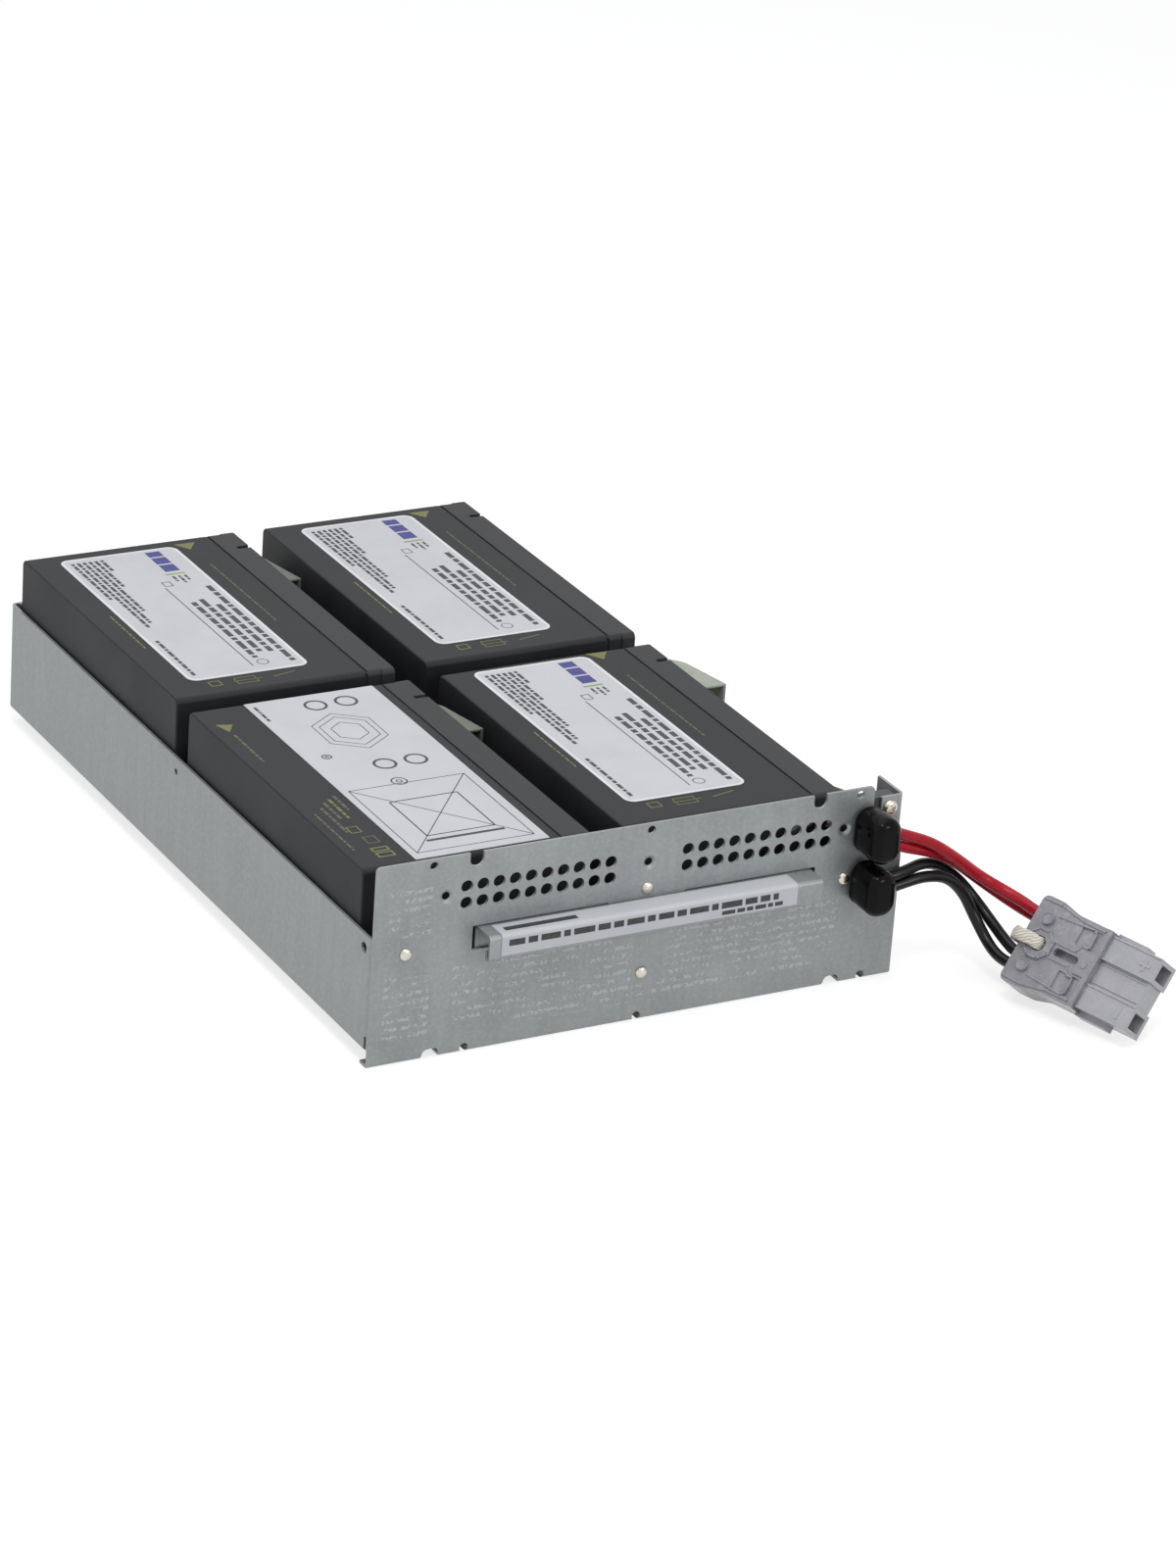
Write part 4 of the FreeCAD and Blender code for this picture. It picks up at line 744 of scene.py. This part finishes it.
def make_bracket_screw(materials):
    """Pan head with a crossed recess."""
    bm = bmesh.new()
    x, z = BRACKET_SCREW
    profile = [(0.0, -0.78), (1.4, -0.72), (2.3, -0.4), (2.85, 0.1), (3.0, 0.6), (3.0, 1.18),
               (1.42, 1.19), (1.42, 8.3)]
    lathe(bm, x, z, profile)
    head = finished_mesh(bm, "bracket_screw_head")
    cross = bmesh.new()
    for angle in (0, 90):
        turn = Matrix.Rotation(math.radians(angle + 20), 2)
        slit = [Vector((x, z)) + turn @ Vector(corner)
                for corner in ((-1.7, -0.32), (1.7, -0.32), (1.7, 0.32), (-1.7, 0.32))]
        prism(cross, "xz", -2.0, 0.1, slit)
    mesh = combined(head, finished_mesh(cross, "cross"), "DIFFERENCE")
    show("bracket_screw_head", smoothed(mesh), materials, "fastener_steel", "bracket_screw")


# --- boots -------------------------------------------------------------------------------
def boot_section(centre_z, height, inset):
    """Rounded rectangle of the boot, drawn in by `inset`."""
    half = BOOT_WIDTH / 2 - inset
    tall = height / 2 - inset
    return rounded(rectangle(STUD_X - half, STUD_X + half, centre_z - tall, centre_z + tall,
                             max(0.8, BOOT_CORNER - inset)), 10)


def make_boot(node, centre_z, height, materials):
    """Dipped boot: full sides, a soft-edged nose and a small lip at its mouth."""
    nose = BOOT_NOSE
    rings = [(-2.0, 0.9), (-2.0, 0.35), (-2.15, 0.1), (-2.6, 0.0), (-3.1, 0.05), (-3.6, 0.25),
             (-5.0, 0.12), (-9.0, 0.0)]
    for i in range(9):
        angle = math.radians(90 * i / 8)
        rings.append((BOOT_FRONT + nose - nose * math.sin(angle),
                      nose * (1 - math.cos(angle))))
    rings.append((BOOT_FRONT, nose + 0.8))
    bm = bmesh.new()
    skinned(bm, [[bm.verts.new(at(point.x, level, point.y))
                  for point in boot_section(centre_z, height, inset)]
                 for level, inset in rings])
    mesh = smoothed(finished_mesh(bm, f"{node}_skin"), math.radians(60))
    show(f"{node}_skin", mesh, materials, "boot_vinyl", node)


# --- labels and printing -----------------------------------------------------------------
WORDS = (5.2, 3.1, 6.4, 2.2, 7.0, 4.1, 3.3, 5.8, 2.6)
INK = (0.04, 0.06)                         # lower and upper level of printing on paper
LABEL_LOOKS = ("sticker", "rim", "black_ink", "blue_ink", "green_ink")
SLOT_FIELD, SLOT_RIM, SLOT_BLACK, SLOT_BLUE, SLOT_GREEN = range(5)


def label_place(name):
    """Turns (distance from the label's rear edge, distance from its right edge, height)."""
    x, y = BATTERIES[name]
    left, front, width, length = LABELS[name]

    def place(along, across, rise):
        return at(x + left + width - across, y + front + length - along,
                  BATTERY_TOP + LABEL_RISE + rise)
    return place


def bar(bm, place, along, across, length, height, slot):
    outline = [Vector(corner) for corner in (
        (along, across), (along + length, across), (along + length, across + height),
        (along, across + height))]
    prism(bm, "xy", *INK, outline, slot, place)


def text_line(bm, place, along, across, length, height, first):
    """A line of plain bars of word-like lengths."""
    start = along
    word = first
    while start < along + length - 1.0:
        long = min(WORDS[word % len(WORDS)] * height / 2.0, along + length - start)
        bar(bm, place, start, across, long, height, SLOT_BLACK)
        start += long + 0.55 * height
        word += 1


def line_between(bm, place, start, finish, width, slot):
    a, b = Vector(start), Vector(finish)
    side = (b - a).normalized().orthogonal() * (width / 2)
    prism(bm, "xy", *INK, [a - side, b - side, b + side, a + side], slot, place)


def outline_shape(bm, place, points, width, slot):
    """A closed line through the points."""
    for a, b in zip(points, points[1:] + points[:1]):
        line_between(bm, place, a, b, width, slot)


def ring(bm, place, along, across, radius, width, slot):
    """A flat circle line made of short chords."""
    outline_shape(bm, place, circle(along, across, radius, 28), width, slot)


def standard_print(bm, place):
    """Bars where the label carries printing."""
    for start, length in ((3.0, 5.2), (9.4, 6.6), (17.2, 7.0)):
        bar(bm, place, start, 8.2, length, 6.4, SLOT_BLUE)
    bar(bm, place, 26.6, 7.4, 1.1, 8.6, SLOT_GREEN)
    for i, length in enumerate((6.0, 7.5, 6.5)):
        text_line(bm, place, 29.4, 8.0 + 2.6 * i, length, 1.1, i)
    for i, (start, length) in enumerate(((43.0, 81.0), (62.0, 50.0), (55.0, 58.0),
                                         (57.0, 59.0))):
        text_line(bm, place, start, 3.4 + 4.3 * i, length, 2.3, 2 * i)
    bar(bm, place, 40.0, 21.6, 83.0, 0.45, SLOT_BLACK)
    for i, length in enumerate((13.0, 30.0, 54.0, 66.0, 70.0, 40.0)):
        text_line(bm, place, 4.5, 33.6 + 2.55 * i, length, 1.5, i + 3)
    text_line(bm, place, 88.0, 46.6, 36.0, 1.5, 1)
    for side in (0.0, 3.4):
        bar(bm, place, 34.0, 17.4 + side, 4.2, 0.4, SLOT_BLACK)
        bar(bm, place, 34.0 + 1.25 * side, 17.4, 0.4, 3.6, SLOT_BLACK)
    ring(bm, place, 120.5, 16.6, 2.3, 0.4, SLOT_BLACK)


def band_print(bm, place):
    """Plain rings, nested hexagons and a crossed frame on the front left battery's band."""
    black = SLOT_BLACK
    for along, across in ((10.0, 16.0), (10.0, 29.0), (68.0, 15.0), (68.0, 28.0)):
        ring(bm, place, along, across, 4.2, 1.1, black)
    for along, across, radius in ((55.0, 46.0, 1.8), (84.0, 30.0, 3.0)):
        ring(bm, place, along, across, radius, 0.6, black)
        ring(bm, place, along, across, 0.35 * radius, 0.5, black)
    middle = Vector((36.0, 27.0))
    for size in (1.0, 0.8, 0.5):
        hexagon = [middle + size * Vector((17.0 * math.cos(angle), 14.0 * math.sin(angle)))
                   for angle in [math.radians(60 * i) for i in range(6)]]
        outline_shape(bm, place, hexagon, 0.35, black)
    corners = [(86.0, 4.0), (143.0, 4.0), (143.0, 52.0), (86.0, 52.0)]
    outline_shape(bm, place, corners, 0.4, black)
    line_between(bm, place, corners[0], corners[2], 0.4, black)
    line_between(bm, place, corners[3], corners[1], 0.4, black)
    outline_shape(bm, place, [(100.0, 14.0), (131.0, 14.0), (131.0, 42.0), (100.0, 42.0)],
                  0.6, black)
    bar(bm, place, 134.0, 12.0, 1.6, 32.0, black)
    text_line(bm, place, 4.0, 51.5, 14.0, 1.2, 2)


def make_label(name, materials):
    """Paper with a paler rim, and its printing a hair above it."""
    place = label_place(name)
    _, _, width, length = LABELS[name]
    wide_band = name == "front_left"
    radius, rim = (0.6, 0.0) if wide_band else (4.0, 1.3)
    bm = bmesh.new()
    prism(bm, "xy", -LABEL_RISE, 0.0,
          rounded(rectangle(0, length, 0, width, radius)), SLOT_RIM, place)
    prism(bm, "xy", -LABEL_RISE / 2, 0.03,
          rounded(rectangle(rim, length - rim, rim, width - rim, max(0.3, radius - rim))),
          SLOT_FIELD, place)
    (band_print if wide_band else standard_print)(bm, place)
    mesh = finished_mesh(bm, f"{name}_sticker")
    show(f"{name}_sticker", mesh, materials, "sticker", f"{name}_label", looks=LABEL_LOOKS)


def mark_row(bm, x, y, length, width, slot, first=0):
    """Word-like marks running forward from (x, y) on a case's top."""
    done = 0.0
    word = first
    while done < length - 0.8:
        long = min(0.62 * WORDS[word % len(WORDS)], length - done)
        mark(bm, [(x, y - done), (x + width, y - done), (x + width, y - done - long),
                  (x, y - done - long)], slot)
        done += long + 0.8
        word += 1


def mark(bm, corners, slot):
    prism(bm, "xy", BATTERY_TOP + 0.01, BATTERY_TOP + 0.03,
          [Vector(corner) for corner in corners], slot)


def mark_frame(bm, x, y, width, length, slot, line=0.5):
    """A rectangle's outline on a case's top."""
    for x0, x1, y0, y1 in ((x, x + width, y, y + line),
                           (x, x + width, y + length - line, y + length),
                           (x, x + line, y + line, y + length - line),
                           (x + width - line, x + width, y + line, y + length - line)):
        mark(bm, [(x0, y0), (x1, y0), (x1, y1), (x0, y1)], slot)


def broad_band_marks(bm, x, y):
    """Marks beside the front left battery's band."""
    mark(bm, [(x + 4.0, y + 136.0), (x + 10.5, y + 134.0), (x + 6.5, y + 128.0)], 0)
    mark_row(bm, x + 6.5, y + 125.0, 26.0, 1.1, 1)
    for i, (length, start) in enumerate(((14.0, 62.0), (19.0, 60.0), (16.0, 58.0),
                                         (24.0, 54.0))):
        mark_row(bm, x + 17.5 - 3.0 * i, y + start, length, 1.2, 0 if i == 1 else 1, 2 * i)
    mark_frame(bm, x + 10.0, y + 30.0, 4.6, 5.6, 0)
    mark_frame(bm, x + 12.0, y + 20.0, 5.0, 6.0, 1)
    mark_frame(bm, x + 10.5, y + 8.0, 7.0, 4.2, 0, 0.8)
    mark_frame(bm, x + 10.5, y + 13.0, 7.0, 3.4, 0, 0.8)
    mark_row(bm, x + 4.2, y + 50.0, 34.0, 0.9, 1, 3)


def label_side_marks(bm, x, y, left, front, width, length):
    """A wedge, a faint row and a few line shapes round a label."""
    right, rear = x + left + width, y + front + length
    mark(bm, [(right + 0.6, rear + 2.0), (right + 10.0, rear + 1.6), (right + 5.2, rear - 5.0)],
         0)
    mark_row(bm, right + 6.0, rear - 22.0, 62.0, 0.8, 1, 1)
    mark_row(bm, x + left - 3.2, y + front + 70.0, 34.0, 0.7, 0, 4)
    base = y + front - 9.0
    mark_frame(bm, x + left + 6.0, base + 2.0, 5.0, 4.6, 0)
    mark_frame(bm, x + left + 17.0, base + 1.0, 9.0, 5.6, 0, 0.4)
    mark(bm, [(x + left + 16.0, base + 3.6), (x + left + 28.0, base + 3.4),
              (x + left + 28.0, base + 3.8), (x + left + 16.0, base + 4.0)], 0)
    mark(bm, [(x + left + 33.0, base + 3.0), (x + left + 43.0, base + 5.2),
              (x + left + 43.0, base + 5.7), (x + left + 33.0, base + 3.5)], 0)


def make_case_marks(materials):
    """Small olive marks on each case's top."""
    bm = bmesh.new()
    for name, (x, y) in BATTERIES.items():
        if name == "front_left":
            broad_band_marks(bm, x, y)
        else:
            label_side_marks(bm, x, y, *LABELS[name])
    mesh = finished_mesh(bm, "case_marks")
    show("case_marks", mesh, materials, "case_plastic", looks=("olive_ink", "faint_ink"))


def make_handle_label(materials):
    """Strip of paper folded over the handle's edge, with plain bars of printing."""
    bm = bmesh.new()
    shelf, front = HANDLE_TOP, HANDLE_FRONT
    outline = [(-1.3, shelf, 0), (-1.3, shelf + LABEL_RISE, 0),
               (front - LABEL_RISE, shelf + LABEL_RISE, 1.6),
               (front - LABEL_RISE, STICKER_FOOT, 0), (front, STICKER_FOOT, 0),
               (front, shelf, 1.4)]
    prism(bm, "yz", STICKER_LEFT, STICKER_RIGHT, rounded(outline, 6))
    for face in bm.faces:
        face.material_index = SLOT_FIELD

    def on_lip(along, across, rise):
        return at(STICKER_LEFT + along, front - LABEL_RISE - rise, shelf - 1.8 - across)

    def on_shelf(along, across, rise):
        return at(STICKER_LEFT + along, front + 1.6 + across, shelf + LABEL_RISE + rise)

    text_line(bm, on_lip, 3.0, 0.3, 113.0, 2.5, 0)
    text_line(bm, on_lip, 92.0, 3.9, 26.0, 1.6, 4)
    bar(bm, on_shelf, 3.0, 1.4, 30.0, 2.7, SLOT_BLACK)
    mesh = finished_mesh(bm, "handle_sticker")
    smoothed(mesh)
    show("handle_sticker", mesh, materials, "sticker", "handle_label",
         looks=LABEL_LOOKS[:3])


# --- plug and tie ------------------------------------------------------------------------
def plug_pose():
    turn = Matrix.Rotation(math.radians(PLUG_HEADING), 4, "Z")
    turn = turn @ Matrix.Rotation(math.radians(PLUG_LEAN), 4, "X")
    turn = turn @ Matrix.Rotation(math.radians(PLUG_TURN), 4, "Z")
    return Matrix.Translation(Vector(PLUG_CORNER)) @ turn


def on_plug(along, across, up):
    """A place along the plug from its back face, across it and up, in the frame."""
    return at(*(plug_pose() @ Vector((along, across, up))))


def tie_path():
    """Round through the lug's hole, over the rear edge and back under the plug: places along
    and up from the plug's back face, read from a closed NURBS line."""
    curve, spline = nurbs("tie_route", [(along, 0.0, up) for along, up in TIE_ROUTE])
    spline.use_cyclic_u = True
    spline.resolution_u = 6
    line = applied(in_scene("tie_route", curve))
    return [Vector((vertex.co.x, vertex.co.z)) for vertex in line.vertices]


def tie_ring(bm, i, before, centre, after):
    """Corners of the flat, lobed cord round the place `centre`; `i` turns its lobes."""
    ahead = (after - before).normalized()
    outward = Vector((-ahead.y, ahead.x))
    in_hole = 3.0 < centre.y < 14.0 and centre.x > 6.0
    half_width = 1.9 if in_hole else 2.5
    half_thick = 0.95 if in_hole else 0.8
    corners = []
    for k in range(TIE_SIDES):
        angle = math.tau * k / TIE_SIDES
        lobe = 1.0 + 0.09 * math.cos(5 * angle + 0.5 * i)
        rise = half_thick * lobe * math.sin(angle)
        side = half_width * lobe * math.cos(angle)
        place = centre + outward * rise
        corners.append(bm.verts.new(on_plug(place.x, PLUG_MIDDLE + side, place.y)))
    return corners


def make_tie(materials):
    """Braided cord that narrows where it passes the lug's hole, with its strands' UVs."""
    path = tie_path()
    bm = bmesh.new()
    uv = bm.loops.layers.uv.new("strands")
    rings = [tie_ring(bm, i, path[i - 1], centre, path[(i + 1) % len(path)])
             for i, centre in enumerate(path)]
    for i, near in enumerate(rings):
        far = rings[(i + 1) % len(rings)]
        for k in range(TIE_SIDES):
            following = (k + 1) % TIE_SIDES
            face = bm.faces.new((near[k], near[following], far[following], far[k]))
            for corner, (row, column) in zip(face.loops, ((i, k), (i, k + 1), (i + 1, k + 1),
                                                          (i + 1, k))):
                corner[uv].uv = (row / len(rings) * 6.0, column / TIE_SIDES * 2.0)
    mesh = finished_mesh(bm, "cord_tie_braid")
    mesh.shade_smooth()
    return show("cord_tie_braid", mesh, materials, "braid", "cord_tie")


def plug_line(bm, points, width, low, high):
    """A raised line through points on the plug's upper side."""
    for a, b in zip(points, points[1:]):
        start, finish = Vector(a), Vector(b)
        ahead = (finish - start).normalized() * (width / 2)
        side = ahead.orthogonal()
        start, finish = start - ahead, finish + ahead
        prism(bm, "xy", low, high, [start - side, finish - side, finish + side, start + side],
              place=on_plug)


def make_plug_trim(materials):
    """Raised borders, rims and tongue ribs that the housing's mould leaves."""
    top = PLUG_TOP
    bm = bmesh.new()
    for across in (3.55, 12.85, 24.05, 33.35):
        plug_line(bm, [(35.2, across), (57.6, across)], 0.7, TONGUE_TOP - 0.1,
                  TONGUE_TOP + 0.45)
    for across in (14.6, 22.3):
        plug_line(bm, [(35.2, across), (56.4, across)], 0.5, 12.5, 13.0)
    corner = 6.1
    octagon = [(LUG_ALONG + corner * math.cos(angle), PLUG_MIDDLE + corner * math.sin(angle))
               for angle in [math.radians(22.5 + 45 * i) for i in range(9)]]
    plug_line(bm, octagon, 0.9, top + 0.3, top + 1.25)
    for sign in (-1, 1):
        def line(*points):
            plug_line(bm, [(along, PLUG_MIDDLE + sign * across) for along, across in points],
                      0.7, top - 0.1, top + 0.5)
        line((10.5, 12.6), (27.2, 13.8), (28.6, 12.6), (28.6, 6.2), (25.4, 6.2), (24.2, 3.2),
             (14.6, 3.2))
        line((1.2, 16.6), (9.4, 16.9), (21.0, 14.9), (31.2, 14.7))
    for along, across in ((6.9, 28.5), (6.9, 8.5)):
        ring_points = [(along + 2.2 * math.cos(math.tau * i / 20),
                        across + 2.2 * math.sin(math.tau * i / 20)) for i in range(21)]
        plug_line(bm, ring_points, 0.5, top + 0.9, top + 1.6)
    mesh = eased(finished_mesh(bm, "plug_trim"), 0.12)
    return show("plug_trim", mesh, materials, "plug_plastic")


def make_plug(frame, materials):
    housing = refined(frame, "plug_housing", 0.35, materials, "plug_plastic", segments=3)
    tie = make_tie(materials)
    return [housing, make_plug_trim(materials), frame["nodes"]["plug_contacts"], tie]


# --- pieces kept from the CAD ------------------------------------------------------------
def dress_nodes(frame, materials):
    """Each remaining CAD node gets the material of its slot."""
    slots = {part["node"]: part["material_slot"] for part in frame["record"]["subparts"]}
    for name, obj in frame["nodes"].items():
        if obj.hide_render:
            continue
        obj.data.materials.clear()
        obj.data.materials.append(materials[slots[name]])


def make_covers(frame, name, materials):
    """The left column's hoods sit lower in the photograph, and a darker copy of the cover
    plastic paints shade on them.
    """
    node = f"{name}_covers"
    mesh = welded(frame["nodes"][node])
    for vertex in mesh.vertices:
        if vertex.co.z > HOOD_LEVEL * MM:
            vertex.co.z -= HOOD_DROPS.get(name, 0.0) * MM
    # The left column's hoods get the darker copy, which is painted shade.
    kind = "shaded_cover" if name in HOOD_DROPS else "cover_plastic"
    show(f"{node}_skin", eased(mesh, 0.25), materials, "cover_plastic", node, looks=(kind,))


def make_bodies(frame, materials):
    """Tray, handle, batteries and covers: the CAD's shapes with eased edges."""
    refined(frame, "tray", 0.16, materials, "zinc_steel")
    refined(frame, "pull_handle", 0.16, materials, "zinc_steel")
    for name in BATTERIES:
        refined(frame, f"{name}_case", 0.7, materials, "case_plastic", segments=3)
        refined(frame, f"{name}_lid", 0.3, materials, "lid_plastic")
        make_covers(frame, name, materials)
    refined(frame, "terminal_block", 0.4, materials, "block_plastic", angle=50.0)


# --- floor, light and camera -------------------------------------------------------------
def linked(tree, kind, *outputs):
    """A new shader node's output, with those outputs linked to its sockets in order."""
    node = add(tree, kind)
    for output, socket in zip(outputs, node.inputs):
        tree.links.new(output, socket)
    return node.outputs[0]


def light_path_mix(tree, lit, seen, output):
    """`seen` for what the camera, metal and glass see, and `lit` for the rest."""
    rays = add(tree, "LightPath").outputs
    seen_by = calculate("MAXIMUM", rays["Is Camera Ray"], rays["Is Glossy Ray"])
    seen_by = calculate("MAXIMUM", seen_by, rays["Is Transmission Ray"])
    add(tree, output, Surface=linked(tree, "MixShader", seen_by, lit, seen))


def floor_material():
    """Dull to what lights the object, and nearly white where it is seen."""
    material = bpy.data.materials.new("pale_floor")
    tree = emptied(material)
    lit = add(tree, "BsdfDiffuse", Color=grey(0.62)).outputs[0]
    shaded = add(tree, "BsdfDiffuse", Color=grey(0.42)).outputs[0]
    glow = add(tree, "Emission", Color=grey(1.0), Strength=0.72).outputs[0]
    light_path_mix(tree, lit, linked(tree, "AddShader", shaded, glow), "OutputMaterial")
    return material


def make_floor():
    """A pale sheet that stays white round the object and keeps its shadow."""
    mesh = bpy.data.meshes.new("floor")
    reach = 6.0
    mesh.from_pydata([(-reach, -reach, 0), (reach, -reach, 0), (reach, reach, 0),
                      (-reach, reach, 0)], [], [(0, 1, 2, 3)])
    mesh.materials.append(floor_material())
    in_scene("floor", mesh)


def make_world():
    """Soft even light, seen as white."""
    world = bpy.data.worlds.new("studio")
    bpy.context.scene.world = world
    tree = emptied(world)
    lit = add(tree, "Background", Color=(0.97, 0.985, 1.0, 1.0), Strength=0.42).outputs[0]
    seen = add(tree, "Background", Color=grey(1.0), Strength=1.0).outputs[0]
    light_path_mix(tree, lit, seen, "OutputWorld")


def area_light(name, place, target, size, energy):
    light = bpy.data.lights.new(name, "AREA")
    light.shape = "RECTANGLE"
    light.size, light.size_y = size
    light.energy = energy
    obj = in_scene(name, light)
    obj.location = place
    direction = Vector(target) - Vector(place)
    obj.rotation_mode = "QUATERNION"
    obj.rotation_quaternion = direction.to_track_quat("-Z", "Y")


def make_lights():
    area_light("top_softbox", (-0.1, 0.15, 1.5), (0, 0, 0), (1.5, 1.5), 9.0)
    area_light("key_softbox", (-0.35, -0.75, 1.45), (0, 0, 0.03), (0.42, 0.28), 4.6)
    area_light("glint_lamp", (-0.3, -0.8, 1.4), (0.09, -0.16, 0.05), (0.04, 0.04), 0.9)
    area_light("front_softbox", (0.6, -1.5, 0.75), (0, 0, 0.03), (0.5, 0.5), 5.2)
    area_light("left_softbox", (-1.5, -0.1, 0.7), (0, 0, 0.03), (1.2, 0.8), 1.2)


def make_camera():
    """The camera stands to the left in front, turned a little about its own axis."""
    yaw, pitch, roll = (math.radians(angle)
                        for angle in (CAMERA_YAW, CAMERA_PITCH, CAMERA_ROLL))
    forward = Vector((math.sin(yaw) * math.cos(pitch), math.cos(yaw) * math.cos(pitch),
                      -math.sin(pitch)))
    level = Vector((math.cos(yaw), -math.sin(yaw), 0))
    above = level.cross(forward)
    right = level * math.cos(roll) + above * math.sin(roll)
    up = above * math.cos(roll) - level * math.sin(roll)
    data = bpy.data.cameras.new("camera")
    data.sensor_width = 36.0
    data.lens = CAMERA_LENS
    data.clip_start, data.clip_end = 0.05, 30.0
    camera = in_scene("camera", data)
    turn = Matrix((right, up, -forward)).transposed().to_4x4()
    camera.matrix_world = Matrix.Translation(at(*CAMERA_PLACE)) @ turn
    bpy.context.scene.camera = camera
    bpy.context.scene.view_settings.view_transform = "Standard"


with open("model.json") as file:
    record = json.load(file)
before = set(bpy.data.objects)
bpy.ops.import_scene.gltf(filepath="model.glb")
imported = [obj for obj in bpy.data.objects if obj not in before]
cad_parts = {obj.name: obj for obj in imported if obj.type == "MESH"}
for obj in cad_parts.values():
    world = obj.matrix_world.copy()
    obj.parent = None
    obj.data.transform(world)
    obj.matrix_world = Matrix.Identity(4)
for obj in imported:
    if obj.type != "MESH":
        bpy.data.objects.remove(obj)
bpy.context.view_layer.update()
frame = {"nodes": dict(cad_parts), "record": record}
make_camera()
materials = make_materials()
lead_lines = make_leads(materials)
make_wires(materials)
make_bodies(frame, materials)
make_plate(materials)
make_rivets(materials)
make_bracket_screw(materials)
for boot, (middle_height, height) in BOOTS.items():
    make_boot(boot, middle_height, height, materials)
for battery in BATTERIES:
    make_label(battery, materials)
make_case_marks(materials)
make_handle_label(materials)
plug_pieces = make_plug(frame, materials)
dress_nodes(frame, materials)
make_floor()
make_world()
make_lights()
